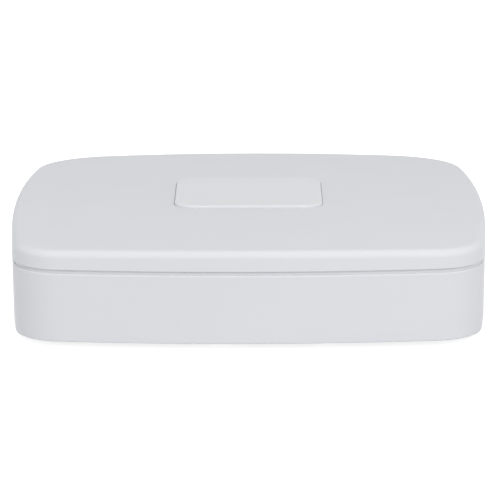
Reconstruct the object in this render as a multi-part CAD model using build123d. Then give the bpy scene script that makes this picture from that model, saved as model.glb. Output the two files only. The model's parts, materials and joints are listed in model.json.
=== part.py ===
"""Network video recorder in a low, nearly square moulded case.

The frame is in millimetres: +Z is up, the front faces -Y, and the origin is on the
surface that the feet stand on, under the middle of the case.
"""
import math
import os

from build123d import *

# Parts that the case is built round. The recording drive is the standard 3.5 inch form.
drive_length = 147.0
drive_width = 101.6
drive_height = 26.1
board_width = 166.0
board_depth = 74.0
board_thickness = 1.6

# Spaces between them, from the front wall to the rear edge, along the middle line
drive_front_gap = 7.9
drive_board_gap = 4.5
board_panel_gap = 2.0
socket_recess = 11.5
side_bay = 17.0

# Case
wall = 2.5
foot_height = 2.9
drive_boss_height = 2.6
board_standoff = 4.6
roof_clearance = 8.4
side_height = 29.0
seam_gap = 1.2
front_bow = 6.7
rear_bow = 7.1
side_bow = 7.4
front_corner_radius = 22.0
rear_corner_radius = 35.3
crown_across = 1.6
crown_along = 3.18
base_draft = 0.7
cover_draft = 1.5
rim_radius = 3.2
shoulder_edge = 0.9
foot_edge = 0.4
lip_inset = 1.3
lip_height = 4.0
fit_clearance = 0.3
roof_rib_thickness = 1.2
roof_rib_depth = 2.0
roof_rib_length = 130.0
roof_rib_spacing = 100.0

# Name plate on the roof, left blank
plate_width = 64.0
plate_depth = 59.0
plate_corner = 9.0
plate_offset = -3.0
plate_proud = 0.6
plate_thickness = 1.9
plate_round = 0.6
plate_clearance = 0.12

# Flats of the round parts that are small or closed in: screws, bosses and larger ones
small_flat_count = 8
boss_flat_count = 16
round_flat_count = 24
disc_flat_count = 60

# Screws, with the radii of their shanks and heads
boss_radius = 4.2
cover_boss_radius = 3.6
boss_board_gap = 1.8
boss_joint_drop = 1.6
front_boss_gap = 13.0
rear_boss_gap = 12.0
cover_screw_radius = 1.45
cover_screw_head = 2.8
cover_screw_length = 16.0
cover_screw_seat = 17.0
small_screw_radius = 1.25
small_screw_head = 2.6
small_head_height = 1.7
drive_screw_radius = 1.7
drive_screw_head = 3.9
drive_screw_head_height = 1.4
drive_screw_grip = 4.0
screw_sink = 0.3
screw_clearance = 0.1
standoff_radius = 3.2
standoff_inset = 6.0

# Rubber feet
foot_radius = 7.0
foot_inset_x = 31.0
foot_inset_y = 26.0

# Vent slots in the floor and the rear panel
vent_width = 3.0
vent_length = 34.0
vent_pitch = 9.0
vent_count = 8
panel_vent_width = 1.8
panel_vent_height = 3.6
panel_vent_pitch = 6.0
panel_vent_count = 15

# Rear panel, a steel sheet that drops into two moulded slots
panel_half_window = 80.0
panel_thickness = 1.0
panel_slot_depth = 1.8
panel_height = 32.0
cheek_thickness = 4.0
cutout_clearance = 0.25

# Sockets, named by their middles along X and their own sizes
ground_x = 71.0
power_x = 58.0
vga_x = 34.0
hdmi_x = 6.5
lan_x = -14.0
usb_x = -33.0
socket_proud = 0.6
power_body = (9.0, 14.0, 11.0)
power_nose_radius = 4.4
power_bore_radius = 3.15
power_bore_depth = 9.5
power_pin_radius = 1.05
vga_flange = (30.8, 12.5)
vga_flange_thickness = 0.8
vga_body_depth = 9.0
vga_mouth = (16.9, 8.3)
vga_mouth_taper = 1.4
vga_shell_thickness = 0.5
vga_proud = 5.8
vga_screw_spacing = 24.99
vga_hole_radius = 1.7
vga_post_radius = 2.7
vga_post_length = 5.0
vga_post_bore = 1.25
vga_shank_radius = 1.5
hdmi_size = (15.0, 11.0, 5.6)
hdmi_wall = 0.4
hdmi_tongue_size = (11.4, 7.0, 1.1)
lan_size = (16.0, 15.0, 13.4)
lan_mouth = (11.8, 8.2)
lan_mouth_depth = 12.5
lan_mouth_z = 1.2
lan_latch = (6.0, 1.6)
usb_size = (13.2, 17.0, 15.6)
usb_mouth = (12.3, 5.1)
usb_mouth_depth = 13.0
usb_tongue_thickness = 1.9
usb_mouth_pitch = 7.6

# Parts on the board
processor_x = -4.0
processor_rear_gap = 45.0
processor_size = 19.0
processor_height = 1.4
pad_thickness = 0.6
heatsink_size = 38.0
heatsink_base = 2.2
heatsink_height = 10.0
heatsink_fins = 9
heatsink_fin_thickness = 1.2
heatsink_pin_inset = 4.0
heatsink_pin_radius = 1.4
heatsink_pin_head = (2.6, 1.8)
heatsink_pin_tail = 1.5
memory_size = (9.0, 13.0, 1.1)
memory_gap = 4.0
store_size = (8.0, 6.0, 1.6)
transformer_size = (16.0, 8.0, 5.6)
inductor_size = (7.0, 7.0, 4.0)
inductor_pitch = 10.0
inductor_rear_gap = 24.0
capacitor_radius = 3.15
capacitor_height = 9.0
capacitor_rear_gap = 34.0
chip_size = (1.6, 2.6, 0.9)
chip_pitch = 4.0
crystal_size = (5.0, 3.2, 1.2)
crystal_offset = 12.0

clock_battery_x = -60.0
battery_radius = 10.0
battery_thickness = 3.2
battery_front_gap = 22.0
battery_seat = 1.0
holder_wall = 1.2
holder_height = 4.6
holder_mouth = 10.0
buzzer_radius = 6.0
buzzer_height = 8.5
buzzer_hole = (1.2, 2.0)

# Connectors and flat leads between the board and the drive, in the bay beside them
connector_depth = 7.0
connector_gap = 0.15
plug_gap = 0.2
nose_height = 3.2
nose_margin = 1.4
data_plug = (9.0, 12.0)
power_plug = (10.0, 21.0)
header_plug_width = 13.0
drive_connector_inset = 8.0
drive_connector_depth = 8.0
drive_connector_height = 5.0
drive_plug_height = 7.2
header_plug_height = 8.0
header_height = 6.4
header_drop = 2.2
data_header_y = 22.0
power_header_y = 50.0
lead_lift = 0.2
data_lead_size = (1.2, 5.0)
power_lead_size = (1.6, 5.6)
lead_bay_gap = 12.0
lead_end_margin = 2.0
lead_exit = 3.5
data_lead_cross = 10.5
power_lead_run = 26.0
power_lead_drift = 0.8
power_lead_cross = 9.0
power_lead_entry = 5.0

# Recording drive
chassis_corner = 3.0
chassis_recess = 2.6
chassis_floor = 5.5
chassis_clearance = 0.3
lid_thickness = 1.0
lid_emboss = 0.5
lid_corner = 12.0
lid_margin_x = 11.0
lid_margin_y = 9.0
label_margin_x = 27.5
label_margin_y = 17.8
label_shift = -4.0
label_thickness = 0.15
circuit_length = 100.5
circuit_margin = 8.8
circuit_end = 1.0
circuit_gap = 0.5
circuit_thickness = 1.6
well_gap = 1.1
platter_edge_gap = 3.3
platter_thickness = 1.27
platter_floor_gap = 5.0
hub_radius = 12.5
hub_flange = 2.5
hub_bore_clearance = 0.05
clamp_radius = 15.5
clamp_thickness = 1.2
spindle_radius = 2.5
spindle_to_pivot = 52.8
pivot_radius = 4.0
arm_length = 50.0
arm_thickness = 1.1
arm_root_width = 13.0
arm_tip_width = 3.2
arm_hub_wall = 3.5
parking_gap = 2.1
arm_swing = 35.0
head_gap = 0.35
tab_length = 5.0
coil_inner = 12.0
coil_outer = 23.5
coil_half_angle = 16.0
coil_thickness = 3.0
yoke_thickness = 3.0
yoke_gap = 0.6
yoke_wall_gap = 1.5
yoke_wall = 2.0
bay_start = 20.0
bay_front_wall = 3.0
bay_rear_wall = 4.0
bay_gap = 0.8
slider_height = 1.0
bearing_gap = 0.5

# Places worked out from the sizes above
case_width = board_width + 2 * (side_bay + wall)
case_depth = (wall + drive_front_gap + drive_width + drive_board_gap + board_depth
              + board_panel_gap + panel_thickness + socket_recess)
front_y = -case_depth / 2
rear_y = case_depth / 2
drive_front_y = front_y + wall + drive_front_gap
drive_mid_y = drive_front_y + drive_width / 2
drive_rear_y = drive_front_y + drive_width
board_front_y = drive_rear_y + drive_board_gap
board_rear_y = board_front_y + board_depth
panel_inner_y = board_rear_y + board_panel_gap
panel_outer_y = panel_inner_y + panel_thickness

floor_z = foot_height
inside_z = foot_height + wall
drive_z = inside_z + drive_boss_height
drive_top_z = drive_z + drive_height
board_z = inside_z + board_standoff
board_top_z = board_z + board_thickness
crown_z = drive_top_z + roof_clearance + wall
shoulder_z = floor_z + side_height
cover_z = shoulder_z + seam_gap
lip_top_z = shoulder_z + lip_height
plate_top_z = crown_z + plate_proud

boss_x = board_width / 2 + boss_board_gap + boss_radius
front_boss_y = drive_front_y + front_boss_gap
rear_boss_y = board_rear_y - rear_boss_gap
boss_top_z = shoulder_z - boss_joint_drop
inner_inset = wall + side_height * math.tan(math.radians(base_draft))
cover_screw_places = [(sx * boss_x, y) for sx in (-1, 1) for y in (front_boss_y, rear_boss_y)]
standoff_places = [(sx * (board_width / 2 - standoff_inset), y) for sx in (-1, 1)
                   for y in (board_front_y + standoff_inset, board_rear_y - standoff_inset - 1.0)]
foot_places = [(sx * (case_width / 2 - foot_inset_x), sy * (case_depth / 2 - foot_inset_y))
               for sx in (-1, 1) for sy in (-1, 1)]

# Bottom mounting holes of the standard drive, from its connector end and middle line
drive_hole_first = 41.28
drive_hole_pitch = 44.45
drive_hole_inset = 3.175
drive_hole_offset = drive_width / 2 - drive_hole_inset
side_hole_first = 28.5
side_hole_pitch = 101.6
side_hole_height = 6.35
side_hole_depth = 2.5
drive_screw_places = [(drive_length / 2 - drive_hole_first - i * drive_hole_pitch,
                       drive_mid_y + s * drive_hole_offset) for i in (0, 1) for s in (-1, 1)]
spindle_x = -drive_length / 2 + drive_width / 2
yoke_reach = coil_outer + yoke_wall_gap + yoke_wall
pivot_x = spindle_x + spindle_to_pivot
pivot_y = drive_front_y + bay_front_wall + bay_gap + yoke_reach
bay_end_x = pivot_x + yoke_reach + bay_gap
platter_radius = drive_width / 2 - platter_edge_gap
well_radius = platter_radius + well_gap
chassis_top_z = drive_top_z - lid_thickness - lid_emboss
well_z = drive_z + chassis_floor
platter_z = well_z + platter_floor_gap
clamp_z = platter_z + platter_thickness


def parked_angle():
    """Where the arms stand when their tips are parked beside the platter, in degrees from +X."""
    across = spindle_x - pivot_x
    along = drive_mid_y - pivot_y
    apart = math.hypot(across, along)
    tip = platter_radius + parking_gap
    between = math.acos((apart ** 2 + arm_length ** 2 - tip ** 2) / (2 * apart * arm_length))
    return math.degrees(math.atan2(along, across) - between)


def block(x0, x1, y0, y1, z0, z1):
    """A box between two corners."""
    return Pos((x0 + x1) / 2, (y0 + y1) / 2, (z0 + z1) / 2) * Box(x1 - x0, y1 - y0, z1 - z0)


def standing(x, y, z0, size):
    """A box of (width, depth, height) that stands at z0 with its middle at x, y."""
    return Pos(x, y, z0 + size[2] / 2) * Box(*size)


def rod(x, y, z0, z1, radius):
    """An upright cylinder."""
    return Pos(x, y, (z0 + z1) / 2) * Cylinder(radius, z1 - z0)


def stud(x, y, z0, z1, radius, flats=small_flat_count):
    """An upright part or hole that is too small to need more than a few flats."""
    return Pos(x, y, z0) * extrude(RegularPolygon(radius, flats), z1 - z0)


def stud_along_y(x, z, y0, y1, radius, flats=small_flat_count):
    """The same, lying along Y."""
    return Pos(x, y1, z) * Rot(90, 0, 0) * extrude(RegularPolygon(radius, flats), y1 - y0)


def rod_along_y(x, z, y0, y1, radius):
    """A cylinder that lies along Y."""
    return Pos(x, (y0 + y1) / 2, z) * Rot(90, 0, 0) * Cylinder(radius, y1 - y0)


def outline(inset=0.0):
    """Plan of the case: four bowed sides that run into round corners, moved inwards by inset."""
    corner_x = case_width / 2 - side_bow
    corner_front = front_y + front_bow
    corner_rear = rear_y - rear_bow
    corners = [(-corner_x, corner_front), (corner_x, corner_front),
               (corner_x, corner_rear), (-corner_x, corner_rear)]
    bows = [front_bow, side_bow, rear_bow, side_bow]
    sides = [SagittaArc(corners[i], corners[(i + 1) % 4], -bows[i]) for i in range(4)]
    plan = make_face(sides)
    plan = fillet(plan.vertices().group_by(Axis.Y)[0], front_corner_radius)
    sharp = [v for v in plan.vertices() if abs(v.Y - corner_rear) < 0.01]
    plan = fillet(sharp, rear_corner_radius)
    return make_face([moved_in(edge, inset) for edge in plan.edges()]) if inset else plan


def moved_in(arc, inset):
    """An arc of the plan with the same centre and a radius that is less by inset."""
    points = [arc @ t for t in (0, 0.5, 1)]
    return ThreePointArc(*[p + (arc.arc_center - p).normalized() * inset for p in points])


def prism(inset, z0, z1):
    """The outline drawn straight up from z0 to z1."""
    return extrude(Pos(0, 0, z0) * outline(inset), z1 - z0)


def under_crown(drop=0.0):
    """Everything under the crowned roof, which falls away from its middle as two parabolas."""
    margin = 1.06
    half_x = margin * case_width / 2
    half_y = margin * case_depth / 2
    fall_x = crown_across * margin ** 2
    fall_y = crown_along * margin ** 2
    rows = [[Vector(i * half_x, j * half_y,
                    crown_z - drop - fall_x * (1 if i else -1) - fall_y * (1 if j else -1))
             for j in (-1, 0, 1)] for i in (-1, 0, 1)]
    return Solid.extrude(Face.make_bezier_surface(rows), Vector(0, 0, -crown_z))


def round_rim(shape, radius):
    """Rounds the rim of the topmost face with two bands that touch the true arc."""
    first = radius * (2 - math.sqrt(2))
    second = radius * (math.tan(math.radians(22.5)) - math.tan(math.radians(11.25)))
    for band in (first, second):
        shape = chamfer(shape.faces().sort_by(Axis.Z)[-1].edges(), band)
    return shape


def bottom_case():
    """The tray: drafted walls, lip, bosses, standoffs, vents and the cheeks of the rear recess."""
    outer = extrude(Pos(0, 0, shoulder_z) * outline(), side_height, taper=base_draft, dir=(0, 0, -1))
    outer = chamfer(outer.faces().sort_by(Axis.Z)[0].edges(), foot_edge)
    outer = chamfer(outer.faces().sort_by(Axis.Z)[-1].edges(), shoulder_edge)
    lip = prism(lip_inset, shoulder_z - 1, lip_top_z)
    window = block(-panel_half_window, panel_half_window, panel_inner_y - 4, rear_y + 5,
                   inside_z, lip_top_z + 1)
    tray = outer + lip - prism(inner_inset, inside_z, lip_top_z + 1) - window
    for side in (-1, 1):
        tray += cheek(side) & outer
    for x, y in cover_screw_places:
        tray += stud(x, y, inside_z - 1, boss_top_z, boss_radius, boss_flat_count)
    for x, y in standoff_places:
        tray += stud(x, y, inside_z - 1, board_z, standoff_radius)
    for x, y in drive_screw_places:
        tray += stud(x, y, inside_z - 1, drive_z, drive_screw_head + 0.8)
    return tray - floor_holes()


def cheek(side):
    """The end wall of the rear recess, with the slot that the panel drops into."""
    near = panel_half_window
    far = panel_half_window + cheek_thickness
    post = block(near, far, panel_inner_y - 1.6, rear_y, inside_z - 1, shoulder_z)
    slot = block(near - 1, near + panel_slot_depth, panel_inner_y - 0.1, panel_outer_y + 0.1,
                 inside_z, shoulder_z + 1)
    post = post - slot
    return post if side > 0 else mirror(post, Plane.YZ)


def floor_holes():
    """Everything that is cut through or into the floor from below."""
    drive_seat = floor_z + drive_screw_head_height + screw_sink
    holes = []
    for x, y in cover_screw_places:
        holes.append(stud(x, y, floor_z - 1, cover_screw_seat, cover_screw_head + 0.4))
        holes.append(stud(x, y, cover_screw_seat - 1, boss_top_z + 1, cover_screw_radius + 0.25))
    for x, y in standoff_places:
        holes.append(stud(x, y, inside_z, board_z + 1, small_screw_radius + screw_clearance))
    for x, y in drive_screw_places:
        holes.append(stud(x, y, floor_z - 1, drive_seat, drive_screw_head + 0.3))
        holes.append(stud(x, y, floor_z, drive_z + 1, drive_screw_radius + 0.2))
    for y in (drive_mid_y, (board_front_y + board_rear_y) / 2):
        for i in range(vent_count):
            x = (i - (vent_count - 1) / 2) * vent_pitch
            holes.append(block(x - vent_width / 2, x + vent_width / 2, y - vent_length / 2,
                               y + vent_length / 2, floor_z - 1, inside_z + 1))
    return holes


def top_cover():
    """The lid: crowned roof, rounded rim, skirt, ribs, screw bosses and the name plate's pocket."""
    tall = crown_z - cover_z + 2
    shell = extrude(Pos(0, 0, cover_z) * outline(), tall, taper=cover_draft) & under_crown()
    shell = round_rim(shell, rim_radius)
    rebate = prism(lip_inset - fit_clearance, cover_z - 1, lip_top_z + 0.4)
    cover = shell - (prism(wall, cover_z - 1, crown_z) & under_crown(wall)) - rebate
    ceiling_z = crown_z - wall - crown_across - crown_along
    for side in (-1, 1):
        x = side * roof_rib_spacing / 2
        rib = block(x - roof_rib_thickness / 2, x + roof_rib_thickness / 2, -roof_rib_length / 2,
                    roof_rib_length / 2, ceiling_z - roof_rib_depth, crown_z)
        cover += rib & under_crown(wall / 2)
    for x, y in cover_screw_places:
        boss = stud(x, y, boss_top_z + fit_clearance, crown_z, cover_boss_radius, boss_flat_count)
        cover += boss & under_crown(wall / 2)
        cover -= stud(x, y, boss_top_z, cover_screw_seat + cover_screw_length + 1.5,
                      cover_screw_radius + screw_clearance)
    return cover - plate_body(plate_clearance, plate_top_z - plate_thickness, crown_z + 2)


def plate_body(grow, z0, z1):
    """The rounded rectangle of the name plate, grown all round."""
    plan = RectangleRounded(plate_width + 2 * grow, plate_depth + 2 * grow, plate_corner + grow)
    return extrude(Pos(0, plate_offset, z0) * plan, z1 - z0)


def name_plate():
    """The blank plate on the roof: flat, proud of the crown, with a rounded edge."""
    plate = plate_body(0, plate_top_z - plate_thickness, plate_top_z)
    return chamfer(plate.faces().sort_by(Axis.Z)[-1].edges(), plate_round)


def rubber_feet():
    """Four round rubber feet, stuck to the floor."""
    return [stud(x, y, 0, floor_z, foot_radius, round_flat_count) for x, y in foot_places]


def screw(x, y, seat_z, radius, head, head_height, length, up):
    """A pan head screw, square to the floor. It points up or down from the face its head seats on."""
    if up:
        return stud(x, y, seat_z, seat_z + length, radius) + stud(x, y, seat_z - head_height, seat_z, head)
    return stud(x, y, seat_z - length, seat_z, radius) + stud(x, y, seat_z, seat_z + head_height, head)


def cover_screws():
    """Four long screws that come up through the floor bosses into the cover."""
    return [screw(x, y, cover_screw_seat, cover_screw_radius, cover_screw_head, 2.0,
                  cover_screw_length, True) for x, y in cover_screw_places]


def drive_screws():
    """Four screws that hold the drive down from under the floor."""
    seat = floor_z + drive_screw_head_height + screw_sink
    return [screw(x, y, seat, drive_screw_radius, drive_screw_head, drive_screw_head_height,
                  drive_z - seat + drive_screw_grip, True) for x, y in drive_screw_places]


def mainboard_screws():
    """Four short screws that hold the board on its standoffs."""
    return [screw(x, y, board_top_z, small_screw_radius, small_screw_head, small_head_height,
                  board_thickness + board_standoff - 1.0, False) for x, y in standoff_places]


def socket_front():
    """How far back the sockets' faces stand: a little proud of the rear panel."""
    return panel_outer_y + socket_proud


def rear_panel():
    """The steel sheet with a cut-out for each socket and a row of vents."""
    half = panel_half_window + panel_slot_depth - 0.3
    sheet = block(-half, half, panel_inner_y, panel_outer_y, inside_z, inside_z + panel_height)
    y0 = panel_inner_y - 1
    y1 = panel_outer_y + 1
    grow = cutout_clearance
    cuts = [
        stud_along_y(power_x, power_z(), y0, y1, power_nose_radius + grow, round_flat_count),
        vga_profile(vga_mouth[0] + 2 * grow, vga_mouth[1] + 2 * grow, y0, y1),
        block(hdmi_x - hdmi_size[0] / 2 - grow, hdmi_x + hdmi_size[0] / 2 + grow, y0, y1,
              board_top_z - grow, board_top_z + hdmi_size[2] + grow),
        block(lan_x - lan_size[0] / 2 - grow, lan_x + lan_size[0] / 2 + grow, y0, y1,
              board_top_z - grow, board_top_z + lan_size[2] + grow),
        block(usb_x - usb_size[0] / 2 - grow, usb_x + usb_size[0] / 2 + grow, y0, y1,
              board_top_z - grow, board_top_z + usb_size[2] + grow),
        stud_along_y(ground_x, power_z(), y0, y1, small_screw_radius + screw_clearance),
    ]
    for s in (-1, 1):
        cuts.append(stud_along_y(vga_x + s * vga_screw_spacing / 2, vga_z(), y0, y1, vga_hole_radius))
    vent_z = (board_top_z + usb_size[2] + cover_z) / 2
    for i in range(panel_vent_count):
        x = (i - (panel_vent_count - 1) / 2) * panel_vent_pitch
        cuts.append(block(x - panel_vent_width / 2, x + panel_vent_width / 2, y0, y1,
                          vent_z - panel_vent_height / 2, vent_z + panel_vent_height / 2))
    return sheet - cuts


def power_z():
    """Height of the power inlet's middle."""
    return board_top_z + power_body[2] / 2


def vga_z():
    """Height of the monitor socket's middle."""
    return board_top_z + vga_flange[1] / 2


def power_jack():
    """The barrel power inlet: a block on the board with a round nose and a bore."""
    front = socket_front()
    body = standing(power_x, panel_inner_y - power_body[1] / 2, board_top_z, power_body)
    body += stud_along_y(power_x, power_z(), panel_inner_y - 1, front, power_nose_radius, round_flat_count)
    bore = stud_along_y(power_x, power_z(), front - power_bore_depth, front + 1, power_bore_radius,
                        round_flat_count)
    return body - bore


def power_jack_pin():
    """The centre pin of the power inlet, which stands in the back of its bore."""
    front = socket_front()
    return stud_along_y(power_x, power_z(), front - power_bore_depth, front - 0.8, power_pin_radius)


def vga_profile(width, height, y0, y1):
    """A D-shaped prism along Y, wider at its top, at the monitor socket."""
    z = vga_z()
    top = width / 2
    low = width / 2 - vga_mouth_taper
    points = [(vga_x - top, z + height / 2), (vga_x + top, z + height / 2),
              (vga_x + low, z - height / 2), (vga_x - low, z - height / 2)]
    plan = chamfer(make_face(Polyline(*points, close=True)).vertices(), height * 0.16)
    return Pos(0, y1, 0) * Rot(90, 0, 0) * extrude(plan, y1 - y0)


def vga_shell():
    """The metal flange and D-shaped shroud of the monitor socket."""
    width, height = vga_flange
    t = vga_shell_thickness
    back = panel_inner_y - vga_flange_thickness
    shell = block(vga_x - width / 2, vga_x + width / 2, back, panel_inner_y,
                  board_top_z, board_top_z + height)
    shell += vga_profile(vga_mouth[0], vga_mouth[1], back, panel_outer_y + vga_proud)
    shell -= vga_profile(vga_mouth[0] - 2 * t, vga_mouth[1] - 2 * t, back - 1, panel_outer_y + vga_proud + 1)
    for s in (-1, 1):
        shell -= stud_along_y(vga_x + s * vga_screw_spacing / 2, vga_z(), back - 1, panel_inner_y + 1,
                              vga_hole_radius)
    return shell


def vga_insert():
    """The plastic block behind the flange, with the contact face inside the shroud."""
    width, height = vga_flange
    t = vga_shell_thickness
    back = panel_inner_y - vga_flange_thickness
    insert = block(vga_x - width / 2, vga_x + width / 2, back - vga_body_depth, back,
                   board_top_z, board_top_z + height)
    insert += vga_profile(vga_mouth[0] - 2 * t - 0.2, vga_mouth[1] - 2 * t - 0.2, back - 1,
                          panel_outer_y + vga_proud - 0.5)
    for s in (-1, 1):
        insert -= stud_along_y(vga_x + s * vga_screw_spacing / 2, vga_z(), back - vga_post_length - 1, back + 1,
                               vga_shank_radius + screw_clearance)
    return insert


def vga_jackscrews():
    """The two hexagonal posts that clamp the panel to the monitor socket."""
    screws = []
    for s in (-1, 1):
        x = vga_x + s * vga_screw_spacing / 2
        post = stud_along_y(x, vga_z(), panel_outer_y, panel_outer_y + vga_post_length, vga_post_radius, 6)
        post += stud_along_y(x, vga_z(), panel_inner_y - vga_flange_thickness - vga_post_length,
                             panel_outer_y + 1, vga_shank_radius)
        bore = rod_along_y(x, vga_z(), panel_outer_y, panel_outer_y + vga_post_length + 1, vga_post_bore)
        screws.append(post - bore)
    return screws


def hdmi_shell():
    """The folded metal shell of the digital video socket, narrower at its foot."""
    width, depth, height = hdmi_size
    front = socket_front()
    low = width / 2 - 1.8
    points = [(-width / 2, height), (width / 2, height), (width / 2, 1.6), (low, 0), (-low, 0),
              (-width / 2, 1.6)]
    plan = make_face(Polyline(*points, close=True))
    shell = extrude(plan, depth) - Pos(0, 0, 1.0) * extrude(offset(plan, -hdmi_wall), depth)
    return Pos(hdmi_x, front - depth, board_top_z) * Rot(90, 0, 0) * mirror(shell, Plane.XY)


def hdmi_tongue():
    """The contact tongue inside the digital video socket."""
    width, depth, height = hdmi_tongue_size
    back = socket_front() - hdmi_size[1] + 1.0
    z = board_top_z + hdmi_size[2] * 0.62
    return block(hdmi_x - width / 2, hdmi_x + width / 2, back, back + depth, z, z + height)


def lan_port():
    """The shielded network socket, with its plug cavity and latch notch."""
    width, depth, height = lan_size
    front = socket_front()
    z = board_top_z + lan_mouth_z + lan_latch[1]
    body = block(lan_x - width / 2, lan_x + width / 2, front - depth, front, board_top_z, board_top_z + height)
    body -= block(lan_x - lan_mouth[0] / 2, lan_x + lan_mouth[0] / 2, front - lan_mouth_depth, front + 1,
                  z, z + lan_mouth[1])
    return body - block(lan_x - lan_latch[0] / 2, lan_x + lan_latch[0] / 2, front - 8, front + 1,
                        z - lan_latch[1], z + 1)


def lan_contacts():
    """The eight sprung wires at the back of the network socket, under its roof."""
    front = socket_front()
    top = board_top_z + lan_mouth_z + lan_latch[1] + lan_mouth[1]
    back = front - lan_mouth_depth
    return [block(lan_x + (i - 3.5) * 1.02 - 0.2, lan_x + (i - 3.5) * 1.02 + 0.2, back, back + 8,
                  top - 0.4, top) for i in range(8)]


def usb_shell():
    """The shield of the two stacked plug sockets."""
    width, depth, height = usb_size
    front = socket_front()
    body = block(usb_x - width / 2, usb_x + width / 2, front - depth, front, board_top_z, board_top_z + height)
    for i in (-1, 1):
        z = board_top_z + height / 2 + i * usb_mouth_pitch / 2
        body -= block(usb_x - usb_mouth[0] / 2, usb_x + usb_mouth[0] / 2, front - usb_mouth_depth, front + 1,
                      z - usb_mouth[1] / 2, z + usb_mouth[1] / 2)
    return body


def usb_tongues():
    """The contact tongue of each stacked socket, set towards the top of its mouth."""
    front = socket_front()
    half = usb_mouth[0] / 2 - 0.6
    tongues = []
    for i in (-1, 1):
        z = board_top_z + usb_size[2] / 2 + i * usb_mouth_pitch / 2 + 0.9
        tongues.append(block(usb_x - half, usb_x + half, front - usb_mouth_depth, front - 1.0,
                             z - usb_tongue_thickness / 2, z + usb_tongue_thickness / 2))
    return tongues


def ground_screw():
    """The earthing screw in the rear panel, with its captive washer."""
    z = power_z()
    body = stud_along_y(ground_x, z, panel_inner_y - 4, panel_outer_y + 0.6, small_screw_radius)
    body += stud_along_y(ground_x, z, panel_outer_y, panel_outer_y + 0.6, 3.6, boss_flat_count)
    body += stud_along_y(ground_x, z, panel_outer_y + 0.6, panel_outer_y + 2.6, 2.7, boss_flat_count)
    slot = block(ground_x - 2.0, ground_x + 2.0, panel_outer_y + 1.8, panel_outer_y + 3, z - 0.4, z + 0.4)
    return body - slot


def processor_y():
    """Middle of the processor, measured back from the board's rear edge."""
    return board_rear_y - processor_rear_gap


def heatsink_pin_places():
    """The two corners of the heatsink that its pins go through."""
    reach = heatsink_size / 2 - heatsink_pin_inset
    return [(processor_x - reach, processor_y() + reach), (processor_x + reach, processor_y() - reach)]


def mainboard():
    """The printed circuit board with its fixing and pin holes."""
    board = block(-board_width / 2, board_width / 2, board_front_y, board_rear_y, board_z, board_top_z)
    for x, y in standoff_places:
        board -= stud(x, y, board_z - 1, board_top_z + 1, small_screw_radius + 0.3)
    for x, y in heatsink_pin_places():
        board -= stud(x, y, board_z - 1, board_top_z + 1, heatsink_pin_radius + screw_clearance)
    return board


def processor():
    """The system processor's package."""
    return standing(processor_x, processor_y(), board_top_z, (processor_size, processor_size, processor_height))


def thermal_pad():
    """The soft pad between the processor and its heatsink."""
    return standing(processor_x, processor_y(), board_top_z + processor_height,
                    (processor_size - 2, processor_size - 2, pad_thickness))


def heatsink_z():
    """Underside of the heatsink."""
    return board_top_z + processor_height + pad_thickness


def heatsink():
    """The finned aluminium heatsink, with two corners cleared for its pins."""
    z = heatsink_z()
    y = processor_y()
    half = heatsink_size / 2
    sink = standing(processor_x, y, z, (heatsink_size, heatsink_size, heatsink_height))
    pitch = (heatsink_size - heatsink_fin_thickness) / (heatsink_fins - 1)
    for i in range(heatsink_fins - 1):
        x = processor_x - half + heatsink_fin_thickness + i * pitch
        sink -= block(x, x + pitch - heatsink_fin_thickness, y - half - 1, y + half + 1,
                      z + heatsink_base, z + heatsink_height + 1)
    side = 2 * (heatsink_pin_inset + 0.2)
    for px, py in heatsink_pin_places():
        sink -= standing(px, py, z + heatsink_base, (side, side, heatsink_height))
        sink -= stud(px, py, z - 1, z + heatsink_base + 1, heatsink_pin_radius + screw_clearance)
    return sink


def heatsink_pins():
    """The push pins that hold the heatsink to the board."""
    low = board_z - heatsink_pin_tail
    top = heatsink_z() + heatsink_base
    head, height = heatsink_pin_head
    return [stud(x, y, low, top, heatsink_pin_radius) + stud(x, y, top, top + height, head)
            for x, y in heatsink_pin_places()]


def memory_chips():
    """Two memory packages and the program store beside the processor."""
    x = processor_x + (heatsink_size + memory_size[0]) / 2 + memory_gap + 0.5
    y = processor_y()
    step = (memory_size[1] + memory_gap) / 2
    chips = [standing(x, y + s * step, board_top_z, memory_size) for s in (-1, 1)]
    chips.append(standing(store_x(), y, board_top_z, store_size))
    return chips


def store_x():
    """Middle of the program store, on the other side of the processor."""
    return processor_x - (heatsink_size + store_size[0]) / 2 - memory_gap


def network_transformer():
    """The isolation transformer behind the network socket."""
    return standing(lan_x, socket_front() - lan_size[1] - 1.5 - transformer_size[1] / 2, board_top_z,
                    transformer_size)


def power_inductors():
    """Three shielded coils of the power supply."""
    y = board_rear_y - inductor_rear_gap
    return [standing(power_x - i * inductor_pitch, y, board_top_z, inductor_size) for i in range(3)]


def capacitors():
    """Three upright electrolytic capacitors in front of the coils."""
    y = board_rear_y - capacitor_rear_gap
    return [stud(power_x - i * inductor_pitch, y, board_top_z, board_top_z + capacitor_height,
                 capacitor_radius, boss_flat_count) for i in range(3)]


def surface_parts():
    """A scatter of small surface parts: two rows of chips beside the memory and the sockets."""
    parts = [standing(processor_x + (i - 3.5) * chip_pitch, board_front_y + 5.0, board_top_z, chip_size)
             for i in range(8)]
    parts += [standing(usb_x + (i - 1.5) * chip_pitch, socket_front() - usb_size[1] - 5.0, board_top_z,
                       chip_size) for i in range(4)]
    parts.append(standing(store_x(), processor_y() + crystal_offset, board_top_z, crystal_size))
    return parts


def battery_y():
    """Middle of the clock battery."""
    return board_front_y + battery_front_gap


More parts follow.
